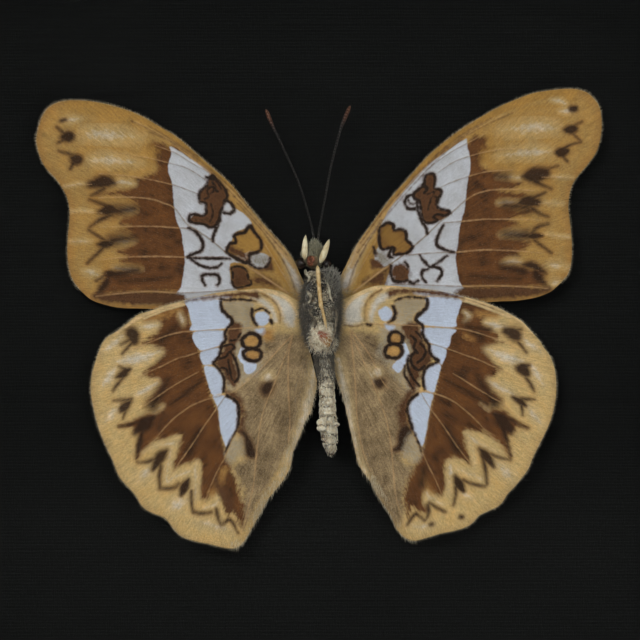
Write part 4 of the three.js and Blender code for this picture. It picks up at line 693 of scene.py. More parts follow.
hindLeft = {
    "base": """-1.5,1.8 -1.5,-4""",
    "margin": """-2.9,1.6 -4,3 -5.2,3.9 -7,4.3 -8.5,4.4 -12,4.1 -15,3.7 -18,3 -20,2.5 -22,1.9 -24,1.2
    -25.5,.7 -27,-.5 -28.5,-1.6 -30,-2.6 -30.8,-4 -31.5,-6 -32,-8 -32.1,-10 -31.8,-12 -31.2,-14.5
    -30.5,-16.5 -29.7,-18.3 -28.9,-20 -28.2,-21.8 -27,-23.3 -25.8,-24.6 -25,-26 -23.8,-26.9 -22,-27.6
    -21.2,-28.3 -20.4,-29.4 -19.3,-30.4 -17.5,-31 -15.5,-31.4 -13.5,-31.9 -12,-32 -11,-31.4 -10.2,-30.3
    -9.4,-28.9 -8.3,-27 -7.2,-25 -6,-23.5 -5,-22.2 -4.2,-20.6 -3.9,-19.2 -3.75,-18.4 -3.5,-17.8 -3.3,-17.3
    -2.7,-16 -2.1,-14.2 -1.2,-12.7 -1,-11.5 -.6,-10 -.4,-8.5""",
    "brown": """area .35: -18.4,2.4 -20,2 -22,1.5 -24,.6 -24.6,-.2 -23,0 -22.4,-.8 -22.8,-1.8 -24,-2.5
    -24.8,-3.3 -22.8,-3.6 -21.8,-4.3 -22.4,-5.2 -23.6,-6.4 -24.8,-7.4 -23.8,-8 -22.6,-8.2 -22.4,-9
    -23.4,-10.4 -24.4,-11.4 -23,-11.6 -22,-11.8 -22.4,-12.8 -24.4,-13.2 -26.4,-14.2 -28.2,-14.9
    -26.2,-15.2 -25.4,-16.2 -25.8,-19.4 -24.8,-18.6 -23.2,-17 -21.6,-16.6 -20,-16 -19.4,-16.6 -20,-18.4
    -20.6,-20.8 -19.6,-20.4 -18,-20 -17,-19.6 -16.6,-21 -16.8,-23.6 -16.6,-25 -15.8,-25.2 -15,-24.4
    -14,-24.4 -13.6,-25.6 -13,-27.4 -12,-27 -11,-29.2 -10.5,-27.6 -11.2,-24.4 -12,-22 -12.8,-20
    -13.2,-18.4 -13.8,-15.6 -14.2,-12.6 -15.1,-10.6 -16.2,-7 -16.6,-4.4 -17.6,-1.8 -18.2,.6""",
    "umber": """area .25: -12.4,-5.3 -11.8,-6.4 -11.7,-7.8 -12.2,-8.2 -12.6,-7 -12.9,-6 | -14.2,-6
    -13.6,-5.1 -13,-5.3 -12.9,-6.4 -13.4,-6.6; area .4: -13.4,-9.9 -12.4,-10.8 -11.4,-12 -11.3,-14
    -11.4,-15.6 -10.6,-15 -10.6,-12 -11.6,-10.2; area .3: -8.8,4 -13,3.7 -17.6,2.9 -19,2.5 -16,2.95
    -12.6,3.2 -10,3.2 -8.6,2.9 | -11,-.8 -12.2,-.2 -12.9,-1.2 -13,-2.8 -13.8,-4.6 -14.6,-6 -13.6,-7.4
    -12.8,-8.8 -11.8,-9.4 -11.4,-8 -11.9,-6.2 -11.9,-4.4 -11.3,-2.6; line .5: -14.8,-22,.8 -13.6,-24.4,1.2
    -12.4,-26.4,.8; line .2: -5.6,-.4,.05 -5.6,1,.06 -6.4,2.6,.06 -8.2,3.7,.04""",
    "cream": """area .35: -3.2,1.4 -4.2,2.9 -5.9,3.8 -7.6,3.9 -6.4,2.4 -5.6,.8 -5.3,-.4 -4,-1.3 -3.3,-.8;
    area .3: -5.8,-.4 -6,1.2 -7,2.6 -8.6,3.4 -10.4,3.3 -9,2.4 -7.8,1.6 -7,.6 -6.8,-.4; line .3:
    -19.6,.8,.5 -19.3,0,.9 -19.2,-.6,.5 | -22,-12,.3 -23.2,-12.8,.5 | -14.2,-24.8,.3 -14.7,-25.8,.6
    -16.2,-26.4,.38; line .35: -22.6,-.7,.5 -23.8,-.9,1.1 -25.2,-1,.4 | -20,-16.6,.38 -20.8,-17.3,.68
    -22.6,-17.5,.45 -24.8,-18.5,.22 | -20.8,-18,.38 -21.2,-20,.45 -21.5,-22.4,.45 | -18.2,-21.2,.52
    -20.2,-21.9,.6 -21.4,-22.8,.38; line .5: -22.4,-4.4,.6 -24,-5,1.5 -26,-5.5,1.9 -28.4,-5.8,.8 |
    -27.6,-2.2,.6 -29,-3.4,1.3 -30.4,-4.4,.5 | -28.4,-6.6,.6 -29.6,-8,1.6 -30.6,-9.4,.5 | -.8,-6,.8
    -1.2,-9.5,1.3 -1.9,-12.6,1.5 -2.9,-15.6,1.2 -3.9,-18.4,.7 -5.4,-22,.4; line .4: -22.7,-8.7,.5
    -24,-9.6,1.2 -25.2,-10.2,1 -26,-10.6,.4 | -17.3,-20,.45 -17.5,-21.3,.9 -17.4,-22.6,.6 -17.5,-25,.45;
    line .6: -28.2,-12,.4 -29.2,-13.2,1.4 -30.2,-14.4,.5; line .7: -23.6,-20.4,.5 -24.6,-21.6,1.5
    -25.6,-22.6,.4 | -18.8,-25.4,.8 -20,-25.8,2 -21,-26.4,.6 | -12.4,-29.4,.5 -14.4,-28.9,1.3
    -17,-28.2,.5; area .4: -6.8,-7.2 -7.8,-7.4 -8,-8.4 -7.2,-8.8 -6.4,-8.2""",
    "deep": """line .43: -27,-1.4,.34 -26.3,-1.9,1.68 -26,-2.9,1.18 | -23.4,-13.7,.84 -24.6,-14.6,1.85
    -25.9,-15.9,.45; line .29: -26.8,-2.9,.34 -27.9,-3.4,.17 | -26.4,-3.3,.34 -27.7,-4.7,.17 |
    -28.1,-6.5,.17 -27,-7,.45 | -27.6,-8.1,.28 -28.5,-9.2,.28 -29,-9.9,.11 | -26.4,-11.1,.34
    -27.6,-11.2,.34 -28.9,-11.3,.11 | -24.8,-14,.34 -26.5,-14.6,.34 -28.2,-14.9,.17 | -22.6,-19.2,.34
    -24,-19.8,.45 -25.5,-20,.17 | -18.4,-22.4,.45 -19,-23.4,1.18 -19.5,-24.5,.34 | -18,-24,.28
    -18,-25.5,.34 -17.8,-26.9,.17 | -14.5,-26.5,.28 -14.3,-27.6,.39 -13.9,-28.7,.22 | -13.8,-28.7,.22
    -12.8,-28,.45 -12.2,-28.4,.34 -11.5,-29.8,.17; line .32: -26.7,-6.9,.45 -27.6,-7.6,1.01 -28.5,-8,.28 |
    -26.6,-11.4,.45 -27.4,-12.2,1.18 -27.9,-12.8,.28 | -24.9,-15.8,.45 -25.3,-17.4,.76 -25.7,-19.3,.17 |
    -22.3,-20.4,.39 -22.5,-22,.39 -22.4,-23.5,.22; line .26: -27.2,-12.7,.28 -27.6,-13.8,.11; line .6:
    -16.5,-8.4,.3 -18.5,-10,.6 -20.8,-11.8,.3; line .36: -21.5,-18.3,.45 -22.4,-19.2,1.34 -23.4,-20.9,.39
    | -22.4,-23.6,.22 -20.5,-23.5,.34 -19.8,-22.9,.17 | -17.7,-26.9,.22 -16.5,-27.1,.28 -15.2,-26.9,.17;
    area .3: -11.7,-15.5 -11,-15.9 -10.5,-16.6 -10.4,-18 -10.2,-19 -9.3,-19.3 -9,-18.8 -9.4,-17.5
    -10.2,-16 -11,-15.3; area .45: -6.6,-8.6 -7.8,-8.9 -8.2,-9.9 -7.6,-10.6 -6.8,-10; line .8:
    -16.8,-15.4,.8 -18.4,-18.4,1.2 | -21.2,-8.4,.6 -23.4,-12,1.4 | -20,-.8,.5 -22.2,-2.8,1.2""",
    "tan": """line .12: -3,.6,.3 -4.2,2.6,.4 -6,3.7,.45 -8.4,4.1,.45 -12,3.85,.4 -15,3.4,.4 -18,2.7,.4
    -22,1.6,.4 -25.4,.3,.4 -28.4,-1.8,.3 | -19,2.2,.4 -22,1.3,.36 -24.6,.2,.3""",
    "ochre": """area .1: -10.6,-3 -10.2,-3.7 -9.4,-3.8 -8.7,-3.4 -8.6,-2.7 -9.2,-2.2 -10.1,-2.3 |
    -10.4,-4.9 -10,-5.4 -9.2,-5.5 -8.5,-5.2 -8.4,-4.6 -9.1,-4.1 -10,-4.3; line .25: -5.6,0,.3 -5.8,1.4,.4
    -6.8,2.9,.4 -8.2,3.8,.3; line .5: -19.8,1.4,.6 -22,.7,.7 -24.6,-.2,.5 | -13.4,-21,.6 -14.2,-23,.8
    -15.2,-24.4,.5; line .4: -8.4,4.1,.2 -12,3.6,.3 -16.4,3,.25; area .3: -6.6,-1.4 -7.6,-1.4 -8,-2.2
    -7.4,-3 -6.6,-2.6""",
    "line": """ring .08 .47: -10.9,-3 -10.5,-3.8 -9.5,-4 -8.6,-3.6 -8.3,-2.8 -8.8,-2.1 -9.7,-1.9
    -10.6,-2.3 | -10.7,-4.8 -10.2,-5.5 -9.2,-5.7 -8.4,-5.4 -8.2,-4.6 -8.8,-4.1 -9.9,-4.1 -10.5,-4.3; line
    .1: -13.9,2.6,.33 -13.7,1.5,.43 -13.1,.8,.46 -12.4,.2,.46 -12.3,-.5,.39 -13,-1.2,.26 -13.3,-2,.37
    -13.2,-2.9,.39 -13.7,-3.5,.43 -13.9,-4.6,.39 -14.4,-5.5,.39 -14.9,-6,.33 -14.3,-6.7,.37 -13.7,-7.5,.39
    -13.4,-8.6,.39 -13.5,-10,.33 | -13.4,-3.6,.33 -12.4,-3.4,.34 -12,-3.9,.37 -12.7,-4.5,.33
    -13.2,-5.2,.37 -14,-5.4,.33 | -12.6,-4.4,.33 -12.1,-5.1,.37 -11.7,-6,.33 -11.4,-7,.34 -11.4,-8,.39
    -11.9,-8.7,.33 | -12.8,-5.6,.24 -12.7,-6.6,.33 -12.5,-7.6,.33 -12.2,-8.4,.26 | -13.8,-6.7,.33
    -13.1,-6.8,.37 -12.9,-7.6,.26 | -11.2,-2,.24 -11.7,-2.7,.26 -12.6,-2.9,.22 | -9.5,1.5,.33 -9.5,.7,.39
    -9.3,-.1,.39 -8.8,-.8,.26 | -9,1.4,.2 -8,1.6,.2 -7.1,1,.24 | -11.7,-15.4,.2 -12.4,-16.6,.16
    -13.2,-18.4,.12; line .12: -13,-10.6,.33 -12,-11.1,.39 -11.4,-12,.4 -11.3,-13.2,.39 -11.5,-15,.33 |
    -9,2.6,.16 -11,2.9,.2 -13,2.8,.22 -14,2.9,.2; line .08: -6.9,0,.33 -6.7,-.5,.37""",
    "vein": """line .06: -5.6,-1,.16 -10,-1.1,.14 -13,-1.3,.18 -15.5,-1.4,.2 -18,-1.6,.2 -19.5,-1.7,.22
    -21.5,-2.2,.22 -23.5,-3,.2 -25,-3.6,.18 -26.5,-4.2,.14 | -13.7,-3.6,.2 -16.6,-4.4,.2 -18.5,-5,.22
    -20,-5.4,.22 -22,-6.4,.2 -24,-7.3,.18 -26,-8.4,.14 | -16.9,-7.2,.16 -18,-7.8,.2 -20,-8.9,.22
    -22,-10.2,.2 -24,-11.6,.18 -25.5,-12.6,.14 | -26.4,-16.4,.16 -28,-18.2,.16 | -13.2,-10.4,.2
    -15.8,-11.1,.22 -18,-12,.24 -20,-13.4,.22 -21.5,-14.8,.22 -23,-16.6,.2 -24.5,-18.4,.18 -25.8,-19.7,.12
    | -13.2,-10.6,.2 -14.9,-13,.22 -16.3,-15,.22 -17.6,-17,.22 -19,-19,.2 -20.4,-21,.16 -21,-22,.12 |
    -12,-15.8,.12 -13.3,-19.2,.2 -14.3,-21,.2 -15.2,-23,.18 -16,-25,.16 -16.4,-26,.12; line .1: -3.8,-2,.3
    -4.4,-5,.26 -4.4,-10,.26 -4.2,-14,.26 -4.4,-17,.2 | -3.8,-2,.3 -6.4,-4.8,.24 -8.6,-7.2,.2
    -11.4,-9.6,.16 -13,-10.4,.12 | -4,-2.6,.2 -6,-8,.2 -8,-13,.2 -8.8,-18,.26 -9.3,-23,.26 -10.2,-27,.24
    -11,-29.8,.14""",
    "speck": """area .3: -13.8,2.5 -11,2.8 -9.4,2.5 -9.2,1.8 -9.6,.8 -9.5,-.6 -9,-1.1 -12.6,-1.1 -12.5,.2
    -13.4,1.1; area .5: -9,-1.2 -12.8,-1.3 -13.2,-3 -14,-5 -13.4,-8.6 -12.8,-10.2 -11,-8.8 -8.6,-7.4 -8,-6
    -8.2,-2.6 | -12.2,-16.4 -11.4,-16.6 -10.9,-17.5 -10.9,-18.6 -11.6,-19.5 -12.8,-19.9 -13.2,-18.4""",
    "hoar": """area .6: -2,-2.4 -5,-1.7 -7.8,-2.4 -8.4,-5.6 -10.4,-8.2 -12.6,-10.6 -11,-12.4 -11.4,-15.6
    -10.6,-19.4 -12.4,-20.4 -10.8,-24 -10.8,-29 -4.6,-19 -2.8,-15 -1,-8""",
    "pale": """area .1: -18.6,2.7 -14,2.9 -13.9,2.3 -13.8,1.4 -13.2,.8 -12.5,.2 -12.4,-.4 -12.8,-1.1
    -17.8,-1.5 -17.9,-.6 -18.2,.4 -18.4,1.6 | -17.7,-1.7 -13.6,-1.5 -13.4,-2.4 -13.3,-3 -13.8,-3.4
    -14.4,-3.7 -16.8,-4.2 | -16.7,-4.5 -14.3,-3.9 -14,-4.6 -14.4,-5.4 -15,-6.1 -16.3,-6.2 | -16.2,-6.6
    -15.2,-6.5 -14.4,-6.8 -13.8,-7.6 -13.5,-8.6 -13.6,-10 -13.9,-10.3 -15,-10.4 -15.6,-9 | -10.9,-3.7
    -10.5,-3.8 -10.4,-4.6 -10.6,-5.2 -10.1,-5.8 -9.2,-5.9 -8.8,-6.3 -9,-7 -9.6,-7.5 -10.1,-7.6 -10.6,-7.2
    -10.7,-6.4 -11.2,-5.8 -11.5,-5 -11.3,-4.3; area .12: -15,-10.7 -13.6,-10.5 -12.6,-11 -11.8,-11.5
    -11.5,-12.4 -11.4,-13.4 -11.6,-15 -12.2,-16.2 -13,-17.8 -13.8,-16 -14.1,-14 -14.3,-12.2 | -9,.8
    -8.4,1.2 -7.6,1.1 -7.1,.5 -7.2,-.3 -7.9,-.8 -8.7,-.7 -9.1,0; area .25: -9,-1.3 -7.8,-1.2 -8,-1.9
    -8.9,-2; area .2: -12.8,3.4 -18.4,3.2 -18.8,2.6 -16,2.8 -13,3""",
}

# Distances on the board, for the marks and the veins

farOff = 9.0
markReach = 1.6


def distances(spots, line, widths=None):
    # how far each spot is from a line, less half the line's width there
    nearest = np.full(len(spots), farOff)
    widths = np.zeros(len(line)) if widths is None else widths
    for a, b, wa, wb in zip(line, line[1:], widths, widths[1:]):
        low, high = np.minimum(a, b) - markReach, np.maximum(a, b) + markReach
        near = np.flatnonzero(((spots > low) & (spots < high)).all(axis=1))
        along = b - a
        t = np.clip(((spots[near] - a) @ along) / max(along @ along, 1e-9), 0, 1)
        gap = np.linalg.norm(spots[near] - a - t[:, None] * along, axis=1)
        gap -= (wa + (wb - wa) * t) / 2
        nearest[near] = np.minimum(nearest[near], gap)
    return nearest


def inside(spots, edge):
    crossings = np.zeros(len(spots), dtype=bool)
    x, z = spots[:, 0], spots[:, 1]
    for a, b in zip(edge, np.roll(edge, -1, axis=0)):
        if a[1] == b[1]:
            continue
        spans = (a[1] > z) != (b[1] > z)
        crossings ^= spans & (x < (b[0] - a[0]) * (z - a[1]) / (b[1] - a[1]) + a[0])
    return crossings


def readMarks(text):
    # the kind, the sizes and the points of every mark in a layer
    for group in filter(None, text.split(";")):
        head, traces = group.split(":")
        kind, *sizes = head.split()
        for trace in traces.split("|"):
            yield kind, [float(size) for size in sizes], readPoints(trace)


leastSoft = {"line": 0.11, "ring": 0.11, "area": 0.08}
farInside, farOutside = 6, -5


def markValue(spots, kind, sizes, points):
    # 0.5 on a mark's edge, 1 at one soft width inside it and 0 at one outside it
    soft = max(sizes[0], leastSoft[kind])
    if kind == "line":
        traced = curve(points, 4)
        gap = distances(spots, traced[:, :2], traced[:, 2])
    else:
        traced = curve(points, 4, closed=True)
        gap = distances(spots, np.vstack([traced, traced[:1]]))
        if kind == "ring":
            gap = gap - sizes[1] / 2
        else:
            gap = np.where(inside(spots, traced), -gap, gap)
    return np.clip(0.5 - gap / (2 * soft), farOutside, farInside)


layerNames = ["brown", "cream", "deep", "pale", "hoar", "speck", "ochre", "umber", "tan", "line", "vein"]


def layerValues(spots, wing):
    layers = {}
    for name in layerNames:
        layers[name] = np.full(len(spots), float(farOutside))
        for mark in readMarks(wing.get(name, "")):
            layers[name] = np.maximum(layers[name], markValue(spots, *mark))
    return layers


# Wings

wingLook = {
    "columns": 421, "rows": 211, "backRows": 16, "thick": 0.13, "ridge": 0.1, "ridgeWide": 0.2,
    "sag": 0.07, "sagWide": 0.9, "wave": 0.07, "ruffle": 0.015, "rim": 3}


def wingPlane(root, reach, height, arch, drop):
    # how far over the board a wing lies, arched a little from its root to its tip
    def lift(x, z):
        out = np.minimum(1, np.hypot(x, z - root) / reach)
        return height + arch * np.sin(math.pi * out) - drop * out

    return lift


foreLift = wingPlane(root=4, reach=38, height=2.3, arch=0.4, drop=0.4)
hindLift = wingPlane(root=0, reach=32, height=3.5, arch=0.3, drop=1.1)


def wingMargin(wing):
    return spread(curve(readPoints(wing["margin"]), 8), wingLook["columns"])


def wingGrid(wing, rows):
    base, margin = readPoints(wing["base"]), wingMargin(wing)
    along = np.linspace(0, 1, wingLook["columns"])[:, None]
    root = base[0] * (1 - along) + base[1] * along
    out = np.linspace(0, 1, rows)[:, None, None]
    return root * (1 - out) + margin * out, margin


def veinRelief(spots, wing, seed):
    gap = np.full(len(spots), farOff)
    for _, _, points in readMarks(wing["vein"]):
        gap = np.minimum(gap, distances(spots, curve(points[:, :2], 4)))
    ridge = wingLook["ridge"] * np.exp(-((gap / wingLook["ridgeWide"]) ** 2))
    sag = wingLook["sag"] * np.exp(-((gap / wingLook["sagWide"]) ** 2))
    return (ridge + sag + wingLook["wave"] * ripple(spots, 11, seed, 2)
            + wingLook["ruffle"] * ripple(spots, 2.2, seed + 5, 2))


def wingFlow(front, margin, rows):
    # millimetres round the margin, and out from the root
    length = np.linalg.norm(margin - front[0], axis=1)
    out = np.linspace(0, 1, rows)[:, None]
    return np.dstack([lengths(margin)[None, :] * np.ones((rows, 1)), out * length]).reshape(-1, 2)


def buildWing(name, wing, lift, seed, material, slot):
    rows, backRows = wingLook["rows"], wingLook["backRows"]
    front, margin = wingGrid(wing, rows)
    back, _ = wingGrid(wing, backRows)
    relief = veinRelief(front.reshape(-1, 2), wing, seed).reshape(front.shape[:2])
    relief = relief * np.clip(np.linspace(0, 1, rows)[:, None] * 6, 0, 1)
    pace = (rows - 1) // (backRows - 1)
    frontLift = lift(front[..., 0], front[..., 1]) + relief
    backLift = lift(back[..., 0], back[..., 1]) + relief[::pace] - wingLook["thick"]
    points, faces = shell(np.dstack([front, frontLift[..., None]]), np.dstack([back, backLift[..., None]]))
    spots = points[:, :2]
    marks = layerValues(spots, wing)
    marks["rim"] = np.clip(distances(spots, margin), 0, wingLook["rim"])
    marks["upper"] = (np.arange(len(points)) >= frontLift.size).astype(float)
    flow = np.vstack([wingFlow(front, margin, count) for count in (rows, backRows)])
    return wear(newMesh(name, place(points), faces, material, flow, marks), slot, name)


class WingFinish(Finish):
    # the noises that all of a wing's scales share, and its dyes

    def __init__(self, name, tones):
        super().__init__(name)
        spot = self.place()
        self.streak = self.noise(self.flow(1.7, 0.22), 1.0, 5, 0.75).strong()
        self.fibre = self.noise(self.flow(5, 0.9), 1.0, 3, 0.7).strong()
        self.grain = self.noise(spot, 4600, 2, 0.6).strong()
        self.blotch = self.noise(spot, 420, 4, 0.6).strong()
        self.wander = self.noise(spot, 1500, 2, 0.6).strong(2.4)
        self.dyes = tones

    def mask(self, layer, wobble=0.7, ragged=0.0):
        value = self.attribute(layer) + self.wander.sway(wobble)
        if ragged:
            value = value + self.streak.sway(ragged) + self.fibre.sway(ragged * 0.7)
        return value.clamped()

    def blend(self, factor, key, toward):
        return self.mix(factor, self.dyes[key], self.dyes[toward])

    def over(self, colour, factor, dye):
        # a dye, or a colour already mixed, laid over the colour so far
        return self.mix(factor, colour, self.dyes[dye] if isinstance(dye, str) else dye)


def wingGround(wing):
    streak, blotch, grain = wing.streak, wing.blotch, wing.grain
    colour = wing.blend(blotch * 0.9, "ground", "groundWarm")
    rim = wing.attribute("rim").stepped(0.1, 1.5)
    colour = wing.over(colour, (1 - rim) * 0.5, "edge")
    hoar = wing.blend(streak * 0.4 + blotch * 0.35 + grain * 0.25, "hoar", "hoarPale")
    colour = wing.over(colour, wing.mask("hoar", 0.6, 0.6), hoar)
    dark = (blotch * 0.75 + streak * 0.5 - 0.12).clamped()
    colour = wing.over(colour, wing.mask("brown", 0.5, 0.8), wing.blend(dark, "brown", "brownDark"))
    ochre = wing.blend(blotch * 0.5, "ochre", "groundWarm")
    return wing.over(colour, wing.mask("ochre", 0.5, 0.3) * 0.85, ochre)


def wingFlames(wing, colour):
    # the cream flames and the dark arrowheads along the margin
    streak, wander = wing.streak, wing.wander
    cream = wing.attribute("cream") + streak.sway(0.3) + wander.sway(0.4)
    soft = wing.blend(wing.blotch * 0.5, "cream", "ground")
    colour = wing.over(colour, (cream * 0.7 + 0.2).clamped() * 0.85, soft)
    colour = wing.over(colour, (cream - 0.6).clamped() * 0.75, "heart")
    deep = wing.attribute("deep") + streak.sway(0.4)
    colour = wing.over(colour, (deep * 0.6 + 0.3).clamped() * 0.65, "brown")
    colour = wing.over(colour, (deep * 1.2).clamped() * 0.94, "deep")
    return wing.over(colour, wing.mask("tan", 0.4, 0.3) * 0.85, "tan")


def wingBand(wing, colour, pale, veiled):
    # the pale band with its spots. The speckled scales lie over it on a forewing (veiled is 1),
    # and stop at the marks on a hindwing
    streak, blotch, grain = wing.streak, wing.blotch, wing.grain
    colour = wing.over(colour, pale, wing.blend(blotch * 0.9, "pale", "paleDim"))
    clear = (pale + wing.mask("ochre", 0.5)).clamped() * (1 - veiled)
    speckled = wing.mask("speck", 0.5) * (1 - clear) * (0.45 + grain * 0.55)
    colour = wing.over(colour, speckled, "speck")
    umber = wing.blend(streak * 0.5 + grain * 0.5, "umber", "umberDark")
    colour = wing.over(colour, wing.mask("umber", 0.6, 0.2), umber)
    spots = wing.mask("ochre", 0.5) * pale * (1 - wing.mask("umber"))
    return wing.over(colour, spots, wing.mix((blotch + streak) * 0.45, wing.dyes["ochre"], umber))


def wingLines(wing, colour, pale):
    # veins, the scales' own uneven tone with painted shade of the scale rows' relief, the black lines, dust
    # and the plain upper side
    wander, fibre = wing.wander, wing.fibre
    vein = (wing.attribute("vein") - 0.25 + wander.sway(0.4)).clamped()
    colour = wing.over(colour, vein * 0.85, wing.blend(pale, "vein", "veinPale"))
    # painted shade: streak, fibre, grain and blotch noise darken and lighten the colour, standing in for the
    # shade of the scale rows' relief as well as the scales' own uneven tone
    relief = (wing.streak.sway(0.24) + fibre.sway(0.28)
              + wing.grain.sway(0.22) + wing.blotch.sway(0.3))
    colour = wing.shaded(colour, 1.02 + relief * (1.1 - pale * 0.5))
    line = wing.attribute("line") + wander.sway(0.9) + fibre.sway(0.4)
    colour = wing.over(colour, (line + 0.8).clamped() * 0.5, "umber")
    colour = wing.over(colour, (line + 0.1).clamped(), "line")
    flecks = wing.noise(wing.flow(6, 3.4), 1.0, 2, 0.7).stepped(0.6, 0.74)
    colour = wing.over(colour, flecks * 0.16, "dust")
    return wing.over(colour, wing.attribute("upper").clamped(), "upper")


def wingFinish(name, tones, veiled):
    wing = WingFinish(name, tones)
    pale = wing.mask("pale", 0.6)
    colour = wingFlames(wing, wingGround(wing))
    colour = wingLines(wing, wingBand(wing, colour, pale, veiled), pale)
    scales = wing.cells(wing.flow(9, 6), 1.0)
    height = scales * 0.4 + wing.fibre * 0.4 + wing.grain * 0.3
    return wing.set(baseColor=colour, roughness=0.62 + wing.grain * 0.25,
                    normal=wing.bump(height, 0.05 * mm), specularLevel=0.2)


foreTones = {
    "ground": (180, 142, 82), "groundWarm": (166, 124, 62), "edge": (152, 106, 54),
    "brown": (128, 80, 38), "brownDark": (50, 29, 15), "ochre": (174, 130, 62),
    "deep": (46, 27, 14), "cream": (204, 176, 124), "heart": (206, 200, 196),
    "pale": (214, 214, 220), "paleDim": (178, 176, 178), "speck": (126, 114, 92),
    "umber": (112, 74, 43), "umberDark": (64, 39, 23), "tan": (190, 150, 92),
    "vein": (190, 150, 105), "veinPale": (128, 104, 66), "line": (42, 27, 18),
    "dust": (226, 218, 200), "hoar": (96, 78, 54), "hoarPale": (164, 144, 110), "upper": (92, 60, 34)}
hindTones = {
    **foreTones, "ground": (216, 184, 126), "groundWarm": (196, 158, 98), "edge": (182, 148, 98),
    "cream": (206, 178, 132), "heart": (214, 210, 204), "tan": (224, 192, 142), "ochre": (180, 126, 62),
    "veinPale": (140, 116, 76), "pale": (212, 220, 238), "paleDim": (184, 190, 206),
    "hoar": (100, 78, 52), "hoarPale": (176, 150, 112), "speck": (160, 148, 128)}
forewing = {"slot": "forewing", "lift": foreLift, "skin": wingFinish("forewing scales", foreTones, 1),
            "sides": {"right": foreRight, "left": foreLeft}}
hindwing = {"slot": "hindwing", "lift": hindLift, "skin": wingFinish("hindwing scales", hindTones, 0),
            "sides": {"right": hindRight, "left": hindLeft}}

print("building the wings")
for kind, firstSeed in ((forewing, 3), (hindwing, 5)):
    for seed, (side, wing) in enumerate(kind["sides"].items(), firstSeed):
        buildWing(f"{kind['slot']}_{side}", wing, kind["lift"], seed, kind["skin"], kind["slot"])


# Hair and scales, grown on seed beds that lie on the body and along the wings

def hairStrand(tree, bend):
    # a thin cone that leans over towards its tip and knows how high on it each point is
    cone = {"Vertices": 3, "Side Segments": 3, "Radius Top": 0.12, "Radius Bottom": 1.0, "Depth": 1.0}
    strand = tree.add("GeometryNodeMeshCone", {}, cone)
    high = tree.add("ShaderNodeSeparateXYZ", {}, {0: tree.add("GeometryNodeInputPosition")}, 2)
    swing = tree.add("ShaderNodeCombineXYZ", {}, {0: 0.0, 1: high * high * bend, 2: 0.0})
    strand = tree.add("GeometryNodeSetPosition", {}, {"Geometry": strand, "Offset": swing})
    return tree.store(strand, "tip", high, "POINT")


def hairTree():
    tree = Grower("hair")
    density = tree.input("Density")
    size = {name: tree.input(name) for name in ("Length", "Width", "Thickness", "Bend", "Stand", "Stray")}
    seed = tree.input("Seed", "Int")
    strand = hairStrand(tree, size["Bend"])
    density = density * tree.named("amount", "FLOAT")
    points = tree.add("GeometryNodeDistributePointsOnFaces", {},
                      {"Mesh": tree.geometry(), "Density": density, "Seed": seed})
    stray = tree.add("FunctionNodeRandomValue", {"data_type": "FLOAT_VECTOR"},
                     {"Min": (-1, -1, -1), "Max": (1, 1, 1), "Seed": seed})
    way = tree.vector("ADD", tree.scaled(points.other("Normal"), size["Stand"]),
                      tree.named("lean", "FLOAT_VECTOR"))
    way = tree.vector("ADD", way, tree.scaled(stray, size["Stray"]))
    turn = tree.add("FunctionNodeAlignRotationToVector", {"axis": "Z"}, {"Vector": way})
    length = size["Length"] * tree.random(0.55, 1.15, seed + 7)
    scale = tree.add("ShaderNodeCombineXYZ", {}, {0: size["Width"], 1: size["Thickness"], 2: length})
    grown = tree.add("GeometryNodeInstanceOnPoints", {},
                     {"Points": points, "Instance": strand, "Rotation": turn, "Scale": scale})
    tree.finish(tree.store(grown, "tone", tree.random(0.0, 1.0, seed + 11), "INSTANCE"))
    return tree


hairGrower = hairTree()


def grow(name, points, faces, lean, amount, material, slot, look):
    # hair or scales on a bed of faces, all sizes in millimetres and hairs to a square millimetre
    count = len(points)
    marks = {"lean": np.broadcast_to(lean, (count, 3)), "amount": np.broadcast_to(amount, count)}
    bed = newMesh(name + "_bed", place(points), faces, None, None, marks)
    piece = hairGrower.grow(name, bed, {
        "Density": look["count"] * 1e6, "Length": look["length"] * mm, "Width": look["width"] * mm,
        "Thickness": look.get("thick", look["width"]) * mm, "Bend": look.get("bend", 0.15),
        "Stand": look["stand"], "Stray": look["stray"], "Seed": look["seed"], "Material": material})
    bpy.data.objects.remove(bed)
    piece.data.shade_smooth()
    return wear(piece, slot)


def hairFinish(name, dark, pale, tip):
    finish = Finish(name)
    tone = finish.attribute("tone")
    colour = finish.mix(tone, dark, pale)
    colour = finish.mix(finish.attribute("tip") * 0.7, colour, tip)
    return finish.set(baseColor=colour, roughness=(tone * 0.2 + 0.65).clamped(), sheenWeight=0.2)


def flows(*ways):
    # directions of x, z and lift, in the frame's own axes
    way = np.array(ways, dtype=float)
    return np.stack([way[..., 0], -way[..., 2], way[..., 1]], axis=-1)


wingHair = hairFinish("wing edge hair", (150, 126, 92), (214, 196, 160), (232, 220, 192))
rootHair = hairFinish("wing root hair", (70, 56, 40), (164, 148, 120), (196, 184, 160))


def marginPart(wing, first, last, pace=1):
    steps = wingLook["columns"] - 1
    return wingMargin(wing)[int(first * steps):int(last * steps) + 1:pace]


def edgeStrip(wing, lift, first, last, deep):
    # a strip just inside the margin, and the way out over the margin
    part = marginPart(wing, first, last)
    out = unit(part - readPoints(wing["base"]).mean(axis=0))
    along = np.gradient(part, axis=0)
    across = unit(np.stack([along[:, 1], -along[:, 0]], axis=1))
    across *= np.sign((across * out).sum())
    spots = np.vstack([part - across * deep, part - across * 0.04])
    points = np.column_stack([spots, lift(spots[:, 0], spots[:, 1]) - 0.02])
    return points, gridFaces(2, len(part)), across, out


def fringe(name, wing, kind, first, last, look, slope):
    points, faces, across, out = edgeStrip(wing, kind["lift"], first, last, look["deep"])
    way = np.tile(across + out * slope, (2, 1))
    lean = flows(*np.column_stack([way, np.zeros(len(way))]))
    grow(name, points, faces, lean, 1.0, wingHair, kind["slot"], look)


